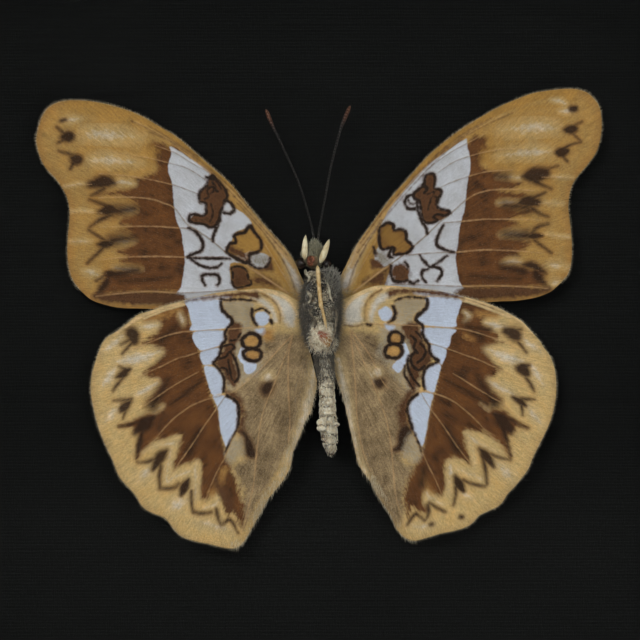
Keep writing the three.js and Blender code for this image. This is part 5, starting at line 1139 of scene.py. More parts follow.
fineFringe = {"deep": 0.12, "count": 150, "length": 0.42, "width": 0.026, "thick": 0.016,
              "stand": 0.05, "stray": 0.25, "seed": 3}
longFringe = {"deep": 1.1, "count": 36, "length": 0.9, "width": 0.03, "stand": 0.1, "stray": 0.3,
              "seed": 8}
fringes = {
    "forewing_fringe": (forewing, 0.02, 0.72, fineFringe, 0.5),
    "hindwing_fringe": (hindwing, 0.1, 0.8, fineFringe, 0.5),
    "anal_hair": (hindwing, 0.72, 1.0, longFringe, 2.6)}
for name, (kind, *where) in fringes.items():
    for side, wing in kind["sides"].items():
        fringe(f"{name}_{side}", wing, kind, *where)


def fieldHair(name, wing, kind, first, last, reach, look):
    # hair lying outwards over the root of a wing
    base, margin = readPoints(wing["base"]), marginPart(wing, first, last, 4)
    rows, columns = 12, len(margin)
    along = np.linspace(first, last, columns)[:, None]
    root = base[0] * (1 - along) + base[1] * along
    length = np.linalg.norm(margin - root, axis=1)[:, None]
    steps = np.linspace(0.08, 1, rows)[:, None, None]
    spots = (root + (margin - root) * np.minimum(steps * reach / length, 0.94)).reshape(-1, 2)
    points = np.column_stack([spots, kind["lift"](spots[:, 0], spots[:, 1]) + 0.1])
    way = np.tile((margin - root) / length, (rows, 1))
    lean = flows(*np.column_stack([way, np.full(len(way), 0.12)]))
    fade = np.repeat(np.linspace(1, 0.05, rows), columns)
    grow(name, points, gridFaces(rows, columns), lean, fade, rootHair, kind["slot"], look)


rootLook = {"count": 9, "length": 1.3, "width": 0.026, "stand": 0.0, "stray": 0.28, "seed": 12}
analLook = {"count": 3.5, "length": 1.2, "width": 0.024, "stand": 0.0, "stray": 0.25, "seed": 13}
fields = {"root_hair_fore": (forewing, 0.0, 1.0, 3.4, rootLook),
          "field_hair": (hindwing, 0.78, 0.995, 19.0, analLook)}
for name, (kind, *where) in fields.items():
    for side, wing in kind["sides"].items():
        fieldHair(f"{name}_{side}", wing, kind, *where)


# Body

print("building the body")
voxels = {"thorax": 0.11, "abdomen": 0.09, "head": 0.08}

trunk = """-.25,6.85,3.9,.7,.8 .2,6.2,3.9,1.75,1.9 .2,4.6,3.85,2.4,2.6 .12,2.4,3.8,2.72,2.95
    .1,0,3.8,2.7,2.95 .2,-2.4,3.9,2.2,2.6 .5,-4,4.1,1.5,1.9 .7,-4.8,4.2,.8,1.2"""
bellyLine = """.75,-5,4.2,.8,1.1 .8,-6.4,4.4,1,1.45 .95,-9.6,4.3,1.02,1.6 1.1,-13,3.9,1.1,1.55
    1.25,-15.4,3.3,1.12,1.4 1.45,-17.6,2.5,.9,1.1 1.6,-18.9,1.9,.35,.45"""
headLine = """-.8,10.9,4.4,.15,.15 -.8,10.3,4.3,.65,.6 -.85,9.5,4.1,1.25,1.15 -.9,8.7,4,1.6,1.4
    -.85,7.9,4,1.4,1.3 -.7,7.1,3.9,.55,.6"""
lumpLook = {"sides": 28, "steps": 3, "uneven": 0.06, "end": 0.04}


def lump(x, z, lift, wide, high, deep):
    tilts = np.linspace(-math.pi / 2, math.pi / 2, 9)[1:-1]
    rings = [(z + high * math.sin(t), math.cos(t)) for t in tilts]
    rings = [(z - high, lumpLook["end"]), *rings, (z + high, lumpLook["end"])]
    stations = np.array([(x, at, lift, wide * share, deep * share) for at, share in rings])
    seed = int(abs(x * 7 + z * 13)) + 2
    return plump(stations, lumpLook["sides"], lumpLook["steps"], lumpLook["uneven"], seed)


def lumps(text):
    return [lump(*form) for form in readPoints(text)]


def fused(name, parts, material):
    # overlapping closed forms as one skin
    points, faces = joined(parts)
    rough = newMesh(name, place(points), faces)
    remesh = rough.modifiers.new("fuse", "REMESH")
    remesh.mode = "VOXEL"
    remesh.voxel_size = voxels[name] * mm
    smooth = rough.modifiers.new("soften", "SMOOTH")
    smooth.factor = 0.5
    smooth.iterations = 3
    mesh = settled(rough)
    bpy.data.objects.remove(rough)
    mesh.shade_smooth()
    mesh.materials.clear()
    mesh.materials.append(material)
    return link(name, mesh)


def near(finish, spot, at, reach):
    # 1 within a place on the body, fading over its reach in millimetres
    where = tuple(place(np.array(at)))
    gap = finish.add("ShaderNodeVectorMath", {"operation": "DISTANCE"}, {0: spot, 1: where}, "Value")
    return 1 - gap.stepped(reach * 0.55 * mm, reach * 1.2 * mm)


stains = {"red": (158, 74, 40), "ochre": (182, 128, 56)}
thoraxSpots = {
    "middle": ((1.0, 0.4, 6.7, 1.3), (-0.6, -0.2, 6.6, 0.8), (0.6, 3.2, 6.7, 0.9), (-0.9, 6.2, 6.0, 0.9)),
    "cream": (0.3, -2.9, 7.2, 2.7),
    "stained": ((0.66, -2.35, 7.1, 0.8, "red"), (0.0, -1.9, 7.1, 0.5, "red"),
                (1.3, -3.1, 6.9, 0.9, "ochre"))}


def bodyFinish():
    finish = Finish("thorax scales")
    spot = finish.place()
    fleck = finish.noise(spot, 3400, 3, 0.7).strong()
    patch = finish.noise(spot, 1000, 3, 0.6).strong()
    colour = finish.mix(patch, (24, 20, 17), (66, 56, 46))
    colour = finish.mix(fleck.stepped(0.55, 0.9) * 0.75, colour, (176, 168, 150))
    middle = sum(near(finish, spot, at, reach) for *at, reach in thoraxSpots["middle"]).clamped()
    colour = finish.mix((middle * 0.7 + patch.sway(0.7)).clamped() * 0.9, colour,
                        finish.mix(fleck, (96, 78, 54), (214, 200, 168)))
    *at, reach = thoraxSpots["cream"]
    cream = near(finish, spot, at, reach)
    pale = finish.mix(fleck, (176, 148, 108), (255, 246, 222))
    colour = finish.mix((cream * 1.6 + patch.sway(0.8) - 0.2).clamped(), colour, pale)
    for *at, reach, stain in thoraxSpots["stained"]:
        bare = near(finish, spot, at, reach)
        colour = finish.mix(bare * (0.7 + fleck * 0.3), colour, stains[stain])
    return finish.set(baseColor=colour, roughness=0.85, sheenWeight=0.2,
                      normal=finish.bump(fleck + patch, 0.12 * mm))


thoraxParts = [plump(readPoints(trunk), 64, 8, 0.05, 3)] + lumps(
    """.3,-2.7,5.2,1.95,1.65,1.9 1.6,6,5,1.1,1.1,1.1 -.55,-1.6,6,.9,1.2,.9 1.1,-1.3,6,.9,1.3,.9
    -1.1,3.4,5.6,1,2,.9 1.35,3,5.6,1,2.2,.9 .2,6.2,5.4,1.1,1,.9 -.6,-2.8,6.55,.55,.5,.45
    1.2,-3.3,6.4,.6,.6,.5 .3,-1.4,6.7,.5,.5,.4 -1.2,6.3,5.5,.7,.6,.6 -.9,5,6,.5,.7,.5
    .5,.6,6.6,.5,.8,.4 -.3,-3.9,6.2,.6,.5,.5""")
wear(fused("thorax", thoraxParts, bodyFinish()), "body_hair", "thorax")


beltLook = {"first": -6.4, "pace": 1.35, "flare": 0.2, "ragged": 0.12}


def beltFinish(name, dark, pale, spares, belts=False):
    # flaky pale scales over a darker skin
    finish = Finish(name)
    spot = finish.place()
    grey = finish.add("ShaderNodeSeparateColor", {}, {0: finish.cells(spot, 2900, "Color")})
    patch = finish.noise(spot, 1100, 3, 0.6).strong()
    colour = finish.mix(grey * 0.55 + patch * 0.45, dark, pale)
    if belts:
        high = finish.add("ShaderNodeSeparateXYZ", {}, {0: spot}, 2) * 1000 + patch * 0.35
        below = (midHeight * 1000 + beltLook["first"] - high) * (1 / beltLook["pace"])
        part = finish.maths("FRACT", below, 0)
        colour = finish.mix((1 - part.stepped(0.02, 0.24)) * 0.8, colour, (84, 66, 44))
    for *at, reach in spares:
        bare = near(finish, spot, at, reach)
        colour = finish.mix((bare * 1.2 + (patch - 0.7) * 0.8).clamped() * 0.8, colour, (100, 66, 38))
    return finish.set(baseColor=colour, roughness=0.8, normal=finish.bump(grey + patch, 0.1 * mm))


def belted(stations):
    # each belt widens towards its lower edge and overlaps the next
    steps = (beltLook["first"] - stations[:, 1]) / beltLook["pace"]
    saw = np.where(steps > 0, steps % 1, 0.4)
    stations[:, 3:] *= (0.8 + beltLook["flare"] * saw ** 1.4)[:, None]
    stations[:, 0] += beltLook["ragged"] * np.sin(np.floor(steps) * 2.3)
    return stations


bare = ((-0.1, -10.6, 4.6, 1.0), (0.1, -16.8, 3.8, 1.0), (1.6, -19.0, 2.4, 1.0))
belly = beltFinish("abdomen scales", (214, 192, 154), (255, 252, 238), bare, True)
bellyParts = [plump(belted(curve(readPoints(bellyLine), 22)), 48, 2, 0.08, 9)] + lumps(
    """.1,-14.3,4.5,.6,.55,.5 .25,-15.1,4.6,.75,.5,.6 2.3,-14.6,3.6,.5,.3,.3 .25,-12.2,4.7,.35,.22,.3
    .5,-7.3,5.2,.5,.6,.5 .6,-16.4,3.3,.42,.7,.4""")
wear(fused("abdomen", bellyParts, belly), "abdomen_scales", "abdomen")
headSkin = beltFinish("head scales", (74, 64, 46), (150, 142, 112), ((-1.2, 8.2, 6, 1.2),))
headParts = [plump(readPoints(headLine), 48, 8, 0.07, 4)] + lumps("-1,8.2,5,1,.9,.8")
wear(fused("head", headParts, headSkin), "body_hair", "head")


def coat(name, stations, sides, amount, way, material, slot, look):
    # hair over a soft form, thinned by a rule of x, z and lift
    points, faces = plump(curve(readPoints(stations), 6), sides, 1)
    grow(name, points, faces, flows(way)[0], amount(*points.T), material, slot, look)


bodyHair = hairFinish("body hair", (26, 21, 18), (74, 62, 50), (150, 140, 122))
paleHair = hairFinish("pale body hair", (208, 178, 132), (255, 244, 216), (255, 252, 238))
greyHair = hairFinish("grey hair", (44, 40, 34), (128, 122, 110), (184, 178, 164))
headHair = hairFinish("head hair", (58, 54, 38), (150, 144, 112), (206, 200, 172))


def sidesOnly(x, z, lift):
    out = np.clip(np.abs(x - 0.15) / 1.6 - 0.35, 0, 1)
    return np.where(lift > 3.2, out + 0.12, 0.05)


def middleOnly(x, z, lift):
    return np.where((lift > 4.6) & (z < 6.6), np.clip(1.5 - np.abs(x - 0.35) / 1.1, 0, 1), 0)


def above(level, rest):
    # all of the hair above a lift, and a share of it below
    return lambda x, z, lift: np.where(lift > level, 1.0, rest)


def headAmount(x, z, lift):
    return np.where((z > 8.6) & (lift > 3.6), 1.0, 0.25)


def flakeAmount(x, z, lift):
    return above(2.6, 0.3)(x, z, lift) * (z < -7)


shoulder = "1.2,7,4.2,.5,.5 1.3,6.4,4.8,.9,1.3 1.5,5.4,5.2,1,1.5 1.6,4.2,5.2,.8,1.2 1.7,3,5,.4,.5"
coxae = ".3,-1,5.8,.6,.6 .3,-2,5.7,1.7,1.65 .3,-3.4,5.6,1.8,1.6 .5,-4.6,5.1,1,1"
waist = ".5,-4.4,4.6,1.3,1.4 .65,-5.6,4.5,1.2,1.5 .8,-7.4,4.4,1.05,1.4 .9,-8.6,4.3,.9,1.2"
coat("thorax_hair", trunk, 40, sidesOnly, (0.0, -0.5, 0.1), bodyHair, "body_hair",
     {"count": 34, "length": 0.9, "width": 0.034, "stand": 0.6, "stray": 0.6, "seed": 21})
coat("thorax_pale_hair", trunk, 40, middleOnly, (0.0, -0.6, 0.0), paleHair, "body_hair",
     {"count": 22, "length": 0.55, "width": 0.06, "thick": 0.015, "stand": 0.5, "stray": 0.9, "seed": 22})
coat("shoulder_hair", shoulder, 28, above(4, 0.2), (0.25, 0.7, 0.1), greyHair, "body_hair",
     {"count": 24, "length": 0.85, "width": 0.06, "stand": 0.3, "stray": 0.35, "seed": 23})
coat("coxa_hair", coxae, 36, above(5, 0.4), (0.1, -0.7, 0.2), paleHair, "body_hair",
     {"count": 11, "length": 0.75, "width": 0.08, "thick": 0.016, "stand": 0.4, "stray": 0.8, "seed": 24})
coat("waist_hair", waist, 36, above(3, 0.3), (0.05, -1.0, 0.05), bodyHair, "abdomen_scales",
     {"count": 26, "length": 1.1, "width": 0.036, "stand": 0.25, "stray": 0.35, "seed": 27})
coat("head_hair", headLine, 32, headAmount, (0.0, 0.8, 0.1), headHair, "body_hair",
     {"count": 46, "length": 0.7, "width": 0.05, "stand": 0.4, "stray": 0.35, "seed": 25})
coat("abdomen_flakes", bellyLine, 32, flakeAmount, (0.05, -0.8, 0.0), paleHair, "abdomen_scales",
     {"count": 9, "length": 0.42, "width": 0.17, "thick": 0.014, "stand": 0.15, "stray": 0.35,
      "seed": 26, "bend": 0.2})


# Head pieces and limbs, lines of x, z, lift and radius

limbLook = {"sides": 20, "steps": 10, "closing": 4, "least": 0.12}


def limb(name, text, material, slot, uneven=0.05, flat=1.0, seed=1):
    sides = limbLook["sides"]
    line = curve(readPoints(text), limbLook["steps"])
    middle, radii = line[:, :3], line[:, 3]
    radii = radii * (1 + uneven * ripple(middle, 1.1, seed))
    ends = np.sin(np.clip(np.arange(len(line)) / limbLook["closing"], 0, 1) * math.pi / 2)
    radii = radii * np.maximum(ends * ends[::-1], limbLook["least"])
    points, faces = tubeMesh(middle, radii, sides, flat)
    reached = lengths(middle)
    flow = np.column_stack([np.tile(np.linspace(0, 2, sides), len(line)), np.repeat(reached, sides)])
    flow = np.vstack([flow, [1, 0], [1, reached[-1]]])
    wear(newMesh(name, place(points), faces, material, flow), slot, name)


def limbFinish(name, dark, mid, pale, patchy=0.5):
    finish = Finish(name)
    spot = finish.place()
    fleck = finish.noise(spot, 5200, 2, 0.7)
    patch = finish.noise(spot, 1300, 3, 0.6)
    colour = finish.mix(patch.stepped(0.35, 0.65), mid, pale)
    colour = finish.mix(fleck.stepped(0.55, 0.7) * patchy, colour, dark)
    return finish.set(baseColor=colour, roughness=(0.55 + fleck * 0.3).clamped(),
                      normal=finish.bump(fleck, 0.05 * mm))


darkLeg = limbFinish("dark leg scales", (24, 20, 16), (66, 56, 44), (128, 116, 96), 0.8)
tanLeg = limbFinish("tan leg scales", (112, 64, 32), (190, 150, 92), (228, 200, 150), 0.6)
paleLeg = limbFinish("pale leg scales", (50, 42, 34), (132, 120, 100), (200, 190, 166), 0.8)
legs = {
    "leg_fore_left": (paleLeg, "-2.05,7.1,5.6,.16 -1.95,6.5,6,.24 -1.5,5.9,6.3,.2 -1.75,5.2,6.3,.14"),
    "leg_fore_right": (paleLeg, ".95,5.25,7.1,.14 1.3,4.2,7.15,.19 1.45,3.2,7,.15 1.85,2.45,6.8,.1"),
    "leg_mid_left": (paleLeg, "-1.9,4.1,6.6,.16 -1.35,3.4,7.1,.22 -1.3,2.9,7.1,.16 -1.6,2.3,6.95,.12"),
    "leg_mid_right": (tanLeg, """-.35,7.6,6.6,.24 -.25,6.4,7,.3 -.1,4.4,7.3,.28 .15,2,7.45,.3
        .3,1.5,7.5,.22 .95,-1.25,7.6,.2"""),
    "leg_hind_left": (darkLeg, """-1,1.75,7.1,.16 -1.35,1.1,7.1,.2 -.9,.2,7.15,.15 -.6,-.4,7.2,.17
        -.8,-1.2,7.2,.12"""),
    "leg_hind_right": (darkLeg, """2.2,1.7,6.3,.14 2.3,.2,6.3,.2 2.15,-1,6.5,.17 1.95,-2.6,6.9,.14
        1.1,-4.4,7,.1""")}
for seed, (name, (skin, line)) in enumerate(legs.items(), 3):
    limb(name, line, skin, "leg", seed=seed)

palpSkin = limbFinish("palp scales", (110, 52, 30), (214, 192, 146), (238, 226, 192), 0.25)
palps = {"palp_left": "-2,11.9,5.3,.08 -2.08,10.8,5.6,.36 -2.12,9.6,5.8,.44 -2.1,8.4,5.7,.3",
         "palp_right": "1.3,11.3,5.3,.08 .95,10.3,5.6,.36 .5,9.1,5.9,.44 0,7.9,5.8,.3"}
for seed, (name, line) in enumerate(palps.items(), 31):
    limb(name, line, palpSkin, "palp", flat=0.85, seed=seed)


def antennaFinish():
    finish = Finish("antenna")
    flow = finish.flow(1, 1)
    along = finish.add("ShaderNodeSeparateXYZ", {}, {0: flow}, 1)
    band = finish.maths("SINE", along * (2 * math.pi / 0.42), 0)
    colour = finish.mix(band.stepped(0.2, 0.9) * 0.5, (20, 15, 12), (58, 42, 32))
    colour = finish.mix(along.stepped(16.5, 20) * 0.8, colour, (104, 62, 38))
    return finish.set(baseColor=colour, roughness=0.5, normal=finish.bump(band, 0.03 * mm))


antennaSkin = antennaFinish()
antennae = {
    "antenna_left": """-.7,10.5,3.1,.16 -1.25,13.4,3.3,.13 -2.9,19,3.4,.13 -4.9,23.5,3.3,.14
        -6.3,26.5,3.12,.18 -6.9,27.8,3.02,.26 -7.3,28.8,2.95,.27 -7.6,29.5,2.9,.16""",
    "antenna_right": """-.35,10.5,3.1,.16 0,13.2,3.3,.13 .8,17.5,3.4,.13 1.55,21.5,3.4,.14
        2.8,26.4,3.15,.18 3.4,28,3.02,.26 3.85,29.1,2.95,.27 4.25,30,2.9,.16"""}
for name, line in antennae.items():
    limb(name, line, antennaSkin, "antenna", uneven=0.02)

tongueLook = {"turns": 1.7, "steps": 90, "reach": 0.72, "drawn": 0.5, "spin": 0.9, "sides": 16}


def coil():
    # the coiled tongue's middle line and its radius
    along = np.linspace(0, 1, tongueLook["steps"])
    turn = along * tongueLook["turns"] * 2 * math.pi
    reach = tongueLook["reach"] - tongueLook["drawn"] * along
    over, up = reach * np.cos(turn), reach * np.sin(turn)
    x = -1.3 + over * math.cos(tongueLook["spin"])
    lift = 6.15 + over * math.sin(tongueLook["spin"])
    return np.column_stack([x, 8.15 + up, lift]), 0.17 - 0.05 * along


tongueSkin = limbFinish("tongue", (48, 20, 10), (92, 44, 24), (150, 92, 62), 0.7)
points, faces = tubeMesh(*coil(), tongueLook["sides"])
wear(newMesh("proboscis", place(points), faces, tongueSkin), "tongue", "proboscis")


def eyeFinish():
    finish = Finish("eye")
    facet = finish.cells(finish.place(), 9000)
    colour = finish.mix(facet.stepped(0.2, 0.8), (46, 28, 20), (20, 13, 10))
    return finish.set(baseColor=colour, roughness=0.25, normal=finish.bump(1 - facet, 0.02 * mm),
                      coatWeight=0.4, coatRoughness=0.15)


eyeSkin = eyeFinish()
eyes = {"eye_left": (-2.62, 7.95, 4.2), "eye_right": (0.8, 7.85, 4.2)}
for name, at in eyes.items():
    points, faces = lump(*at, 0.76, 0.78, 0.76)
    wear(newMesh(name, place(points), faces, eyeSkin), "eye", name)


# Case

print("building the case")
sides = ("bottom", "left", "top", "right")
caseLook = {"side": 150, "front": -16.05, "gap": 0.04, "steps": 31, "grainShift": 260}


def railOutline():
    # in from the outer face and back from the front, round from inside the rebate
    turn = np.linspace(math.pi / 2, 0, 9)
    front = [(1.5 - 1.5 * math.sin(t), 1.5 - 1.5 * math.cos(t)) for t in turn]
    t = np.linspace(0, 1, 22)[:, None]
    a, b, c = np.array([9.0, 0]), np.array([11.2, 3.2]), np.array([14.75, 3.2])
    cove = (1 - t) ** 2 * a + 2 * t * (1 - t) * b + t ** 2 * c
    lip = [(14.93, 3.27), (15, 3.45), (15, 4.85), (14.85, 5), (10.1, 5), (10, 5.1)]
    back = [(10, 29.3), (9.7, 29.6), (0.5, 29.6), (0.15, 29.45), (0, 29.1)]
    return np.array(back + front + cove.tolist() + lip)


def woodFinish():
    finish = Finish("ebonised wood")
    grain = finish.noise(finish.flow(0.08, 1.4), 1.0, 5, 0.65, 0.6)
    pore = finish.noise(finish.flow(0.5, 7.0), 1.0, 3, 0.7)
    worn = finish.noise(finish.place(), 60, 3, 0.6)
    colour = finish.mix(grain.stepped(0.3, 0.7), (24, 20, 18), (44, 36, 30))
    colour = finish.mix(pore.stepped(0.58, 0.72) * 0.5, colour, (12, 10, 9))
    rough = (0.34 + worn * 0.16 + pore * 0.1).clamped()
    return finish.set(baseColor=colour, roughness=rough, coatWeight=0.15, coatRoughness=0.3,
                      normal=finish.bump(grain * 0.4 - pore, 0.12 * mm))


def sharpen(piece, degrees=32):
    piece.data.set_sharp_from_angle(angle=math.radians(degrees))


def buildRail(side, turn, outline, material):
    # the outline drawn along one side, its ends on the mitres
    steps, count = caseLook["steps"], len(outline)
    half = caseLook["side"] / 2 - outline[:, 0] - caseLook["gap"]
    along = np.linspace(-1, 1, steps)[:, None] * half
    across = np.broadcast_to(outline[:, 0] - caseLook["side"] / 2, along.shape)
    deep = np.broadcast_to(caseLook["front"] + outline[:, 1], along.shape)
    angle = turn * math.pi / 2
    x = along * math.cos(angle) + across * math.sin(angle)
    z = -along * math.sin(angle) + across * math.cos(angle)
    points = np.stack([x * mm, deep * mm, z * mm + midHeight], axis=-1).reshape(-1, 3)
    ends = [tuple(range(count)), tuple(range((steps - 1) * count, steps * count))]
    girth = np.broadcast_to(lengths(outline), along.shape)
    flow = np.dstack([along + turn * caseLook["grainShift"], girth]).reshape(-1, 2)
    piece = newMesh("rail_" + side, points, bandFaces(steps, count) + ends, material, flow)
    sharpen(piece)
    wear(piece, "frame_wood", "rail_" + side)


wood = woodFinish()
for turn, side in enumerate(sides):
    buildRail(side, turn, railOutline(), wood)


# Cloth on the mount board, a ribbed weave of thick weft threads

clothLook = {"rib": 0.45, "deep": 0.05, "across": 44, "up": 864}


def clothTree():
    tree = Grower("ribbed cloth")
    size = tree.input("Size", "Vector")
    rib = tree.input("Rib")
    deep = tree.input("Deep")
    cube = {"Size": size, "Vertices X": clothLook["across"], "Vertices Y": 2,
            "Vertices Z": clothLook["up"]}
    block = tree.add("GeometryNodeMeshCube", {}, cube)
    at = tree.add("GeometryNodeInputPosition")
    side = tree.add("ShaderNodeSeparateXYZ", {}, {0: at}, 1)
    high, long = side.other(2), side.other(0)
    slow = tree.add("ShaderNodeCombineXYZ", {}, {0: long * 60, 1: 0.0, 2: high * 1400})
    slub = tree.add("ShaderNodeTexNoise", {}, {"Vector": slow, "Scale": 1.0, "Detail": 2.0}, "Fac")
    wave = tree.maths("SINE", high * (2 * math.pi) * tree.maths("DIVIDE", 1, rib) + slub * 2.4, 0)
    push = (wave * 0.5 + 0.5) * deep * (slub * 0.9 + 0.35)
    front = tree.maths("LESS_THAN", side, 0)
    shift = tree.add("ShaderNodeCombineXYZ", {}, {0: 0.0, 1: push * front, 2: 0.0})
    block = tree.add("GeometryNodeSetPosition", {}, {"Geometry": block, "Offset": shift})
    tree.finish(block)
    return tree


def clothFinish():
    finish = Finish("black ribbed cloth")
    spot = finish.place()
    thread = finish.noise(finish.vector("MULTIPLY", spot, (350, 1, 9000)), 1.0, 3, 0.6)
    slub = finish.noise(finish.vector("MULTIPLY", spot, (90, 1, 2200)), 1.0, 4, 0.6)
    weft = finish.noise(finish.vector("MULTIPLY", spot, (5200, 1, 700)), 1.0, 2, 0.6)
    cloud = finish.noise(spot, 26, 3, 0.5)
    colour = finish.mix((slub * 0.7 + thread * 0.5 - 0.2).clamped(), (5, 5, 5), (32, 33, 32))
    colour = finish.shaded(colour, (0.65 + cloud * 0.5 + weft * 0.25).clamped())
    return finish.set(baseColor=colour, roughness=0.95, specularLevel=0.08,
                      normal=finish.bump(thread * 0.7 + weft * 0.6, 0.05 * mm))


def buildBoard():
    tree = clothTree()
    seedBed = newMesh("cloth_bed", [(0, 0, 0)], [], recalculate=False)
    grown = tree.grow("mount_board", seedBed, {
        "Size": tuple(boardHigh - boardLow), "Rib": clothLook["rib"] * mm, "Deep": clothLook["deep"] * mm,
        "Material": clothFinish()})
    bpy.data.objects.remove(seedBed)
    middle = Vector((boardLow + boardHigh) / 2)
    for vertex in grown.data.vertices:
        vertex.co += middle
    grown.data.shade_smooth()
    wear(grown, "backing_cloth", "mount_board")


buildBoard()


# Sheets, hanger, nails, bumpers and pin

def sheetFinish(name, dark, pale, scale, roughness, grainy=0.4):
    finish = Finish(name)
    spot = finish.place()
    cloud = finish.noise(spot, scale, 4, 0.6)
    fleck = finish.noise(spot, scale * 22, 3, 0.7)
    colour = finish.mix(cloud * (1 - grainy) + fleck * grainy, dark, pale)
    return finish.set(baseColor=colour, roughness=(roughness + fleck * 0.15).clamped(),
                      normal=finish.bump(fleck, 0.06 * mm))


def dress(node, material):
    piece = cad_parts[node]
    piece.data.materials.clear()
    piece.data.materials.append(material)


dress("glass", Finish("picture glass").set(
    baseColor=(0.97, 0.99, 0.98, 1), roughness=0.0, ior=1.1, transmissionWeight=1.0))
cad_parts["glass"].visible_shadow = False
card = sheetFinish("black card", (20, 20, 22), (34, 34, 37), 90, 0.8)
for side in sides:
    dress("spacer_" + side, card)
dress("back_board", sheetFinish("hardboard", (92, 62, 38), (128, 92, 60), 120, 0.7, 0.6))

paperLook = {"count": 120, "pace": 7, "half": 73, "rim": 9, "deep": 0.1, "gap": 0.05}


def paperRim(away):
    # 0 at the glued edge of the paper, rising inwards from it
    return np.minimum(1, (paperLook["half"] - np.abs(away)) / paperLook["rim"])


def buildPaper():
    low, high = [np.array(corner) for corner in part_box("dust_paper")]
    count, pace = paperLook["count"], paperLook["pace"]
    across, up = np.meshgrid(np.linspace(low[0], high[0], count), np.linspace(low[2], high[2], count))
    spots = np.column_stack([across.ravel(), up.ravel()]) / mm
    rim = paperRim(spots[:, 0]) * paperRim(spots[:, 1] - caseLook["side"] / 2)
    buckle = np.abs(ripple(spots, 60, 41, 3)) * np.clip(rim, 0, 1) * paperLook["deep"] * mm
    back = (high[1] - paperLook["gap"] * mm - buckle).reshape(count, count)
    outer = np.stack([across, back, up], axis=-1)
    inner = np.stack([across[::pace], np.full_like(across[::pace], low[1]), up[::pace]], axis=-1)
    kraft = sheetFinish("kraft paper", (142, 106, 70), (186, 150, 108), 70, 0.75, 0.5)
    wear(newMesh("dust_paper", *shell(outer, inner), kraft), "kraft_paper", "dust_paper")


print("finishing the back")
steel = sheetFinish("zinc steel", (150, 148, 142), (196, 194, 188), 400, 0.28)
steel.node_tree.nodes["Principled BSDF"].inputs["Metallic"].default_value = 1.0
rubber = sheetFinish("felted rubber", (26, 26, 27), (52, 52, 53), 500, 0.8, 0.7)


def lathe(name, profile, middle, y, sides, material, slot):
    # a round of radius and distance back, about a line along Y
    x, z = middle
    turn = turns(sides)
    rings = [np.column_stack([x + r * np.cos(turn), np.full(sides, y + deep), z + r * np.sin(turn)])
             for r, deep in profile[1:-1]]
    ends = [[x, y + profile[0][1], z], [x, y + profile[-1][1], z]]
    piece = newMesh(name, np.vstack(rings + ends) * mm, ringFaces(len(rings), sides), material)
    sharpen(piece, 40)
    wear(piece, slot, name)


def rounded(profile, steps):
    # more points on a profile, its corners eased
    profile = np.array(profile, dtype=float)
    eased = [profile[0]]
    for a, b, c in zip(profile, profile[1:], profile[2:]):
        reach = min(0.35, 0.45 * np.linalg.norm(b - a), 0.45 * np.linalg.norm(c - b))
        p = b + (a - b) * reach / np.linalg.norm(a - b)
        q = b + (c - b) * reach / np.linalg.norm(c - b)
        for t in np.linspace(0, 1, steps):
            eased.append((1 - t) ** 2 * p + 2 * t * (1 - t) * b + t ** 2 * q)
    return np.array(eased + [profile[-1]])


def buildFittings():
    nail = rounded([(0, -8), (0.7, -7), (0.7, 0), (1.6, 0), (1.5, 0.4), (0.75, 0.72), (0, 0.75)], 4)
    pad = rounded([(0, 0.1), (4, 0.1), (4, 1.2), (3.45, 1.9), (2.8, 2.1), (0, 2.1)], 5)
    for side, sign in (("left", -1), ("right", 1)):
        lathe("hanger_nail_" + side, nail, (sign * 19, 143.5), 14.95, 32, steel, "steel")
        lathe("bumper_" + side, pad, (sign * 67, 8), 13.95, 48, rubber, "rubber")


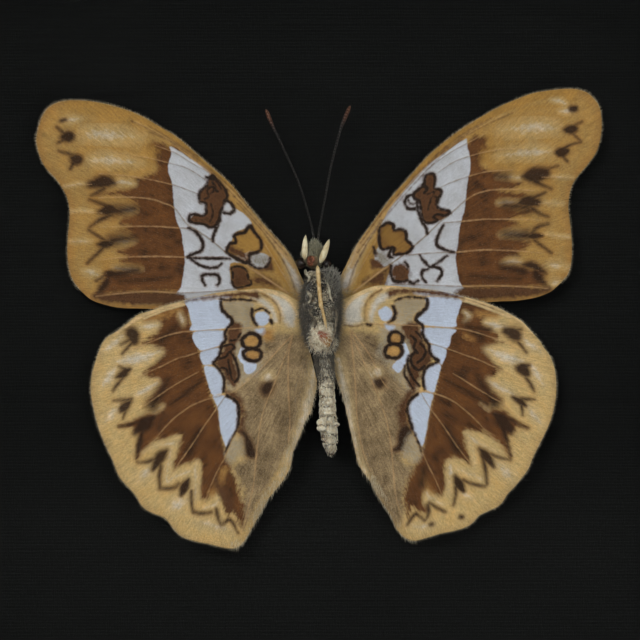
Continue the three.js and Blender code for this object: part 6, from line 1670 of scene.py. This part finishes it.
def buildHanger():
    # the CAD strap with its edges eased
    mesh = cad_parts["sawtooth_hanger"].data.copy()
    work = bmesh.new()
    work.from_mesh(mesh)
    bmesh.ops.remove_doubles(work, verts=work.verts, dist=0.001 * mm)
    bmesh.ops.dissolve_limit(work, angle_limit=math.radians(1), verts=work.verts, edges=work.edges)
    edges = [edge for edge in work.edges if edge.is_manifold and edge.calc_face_angle() > 0.6]
    bmesh.ops.bevel(work, geom=edges, offset=0.12 * mm, segments=2, affect="EDGES", clamp_overlap=True)
    work.to_mesh(mesh)
    work.free()
    mesh.materials.clear()
    mesh.materials.append(steel)
    mesh.shade_smooth()
    piece = link("sawtooth_hanger_bevelled", mesh)
    sharpen(piece, 35)
    wear(piece, "steel", "sawtooth_hanger")


buildPaper()
buildFittings()
buildHanger()
dress("insect_pin", steel)


# Floor, light and camera

stageLook = {"distance": 550, "wingPlane": 4.5, "seen": 89.6, "sensor": 36, "floor": 3,
             "sky": (0.9, 0.93, 1.0, 1), "skyLevel": 0.12}


def buildStage():
    finish = Finish("pale floor")
    grey = finish.noise(finish.place(), 3, 2)
    finish.set(baseColor=finish.mix(grey, (214, 212, 208), (224, 222, 219)), roughness=0.8)
    far = stageLook["floor"]
    corners = [(-far, -far, 0), (far, -far, 0), (far, far, 0), (-far, far, 0)]
    floor = newMesh("floor", corners, [(0, 1, 2, 3)], finish.material, recalculate=False)
    world = bpy.data.worlds.new("studio")
    world.use_nodes = True
    sky = world.node_tree.nodes["Background"].inputs
    sky[0].default_value, sky[1].default_value = stageLook["sky"], stageLook["skyLevel"]
    bpy.context.scene.world = world
    bpy.context.scene.view_settings.view_transform = "Standard"


def lamp(name, at, size, watts):
    light = bpy.data.lights.new(name, "AREA")
    light.shape = "SQUARE"
    light.size = size
    light.energy = watts
    piece = link(name, light)
    piece.location = at
    way = Vector((0, 0, midHeight)) - Vector(at)
    piece.rotation_euler = way.to_track_quat("-Z", "Y").to_euler()


def buildCamera():
    camera = link("camera", bpy.data.cameras.new("camera"))
    camera.location = (0, (stageLook["wingPlane"] - stageLook["distance"]) * mm, midHeight)
    camera.rotation_euler = (math.pi / 2, 0, 0)
    camera.data.sensor_width = stageLook["sensor"]
    camera.data.lens = stageLook["sensor"] * stageLook["distance"] / stageLook["seen"]
    camera.data.clip_start = 0.01
    bpy.context.scene.camera = camera


lamps = {"key": ((-0.5, -1.0, 0.75), 0.6, 4.4), "fill": ((0.45, -0.85, 0.1), 0.6, 1.9),
         "rear": ((0.5, 1.2, 0.8), 0.8, 8)}
buildStage()
for name, (at, size, watts) in lamps.items():
    lamp(name, at, size, watts)
buildCamera()
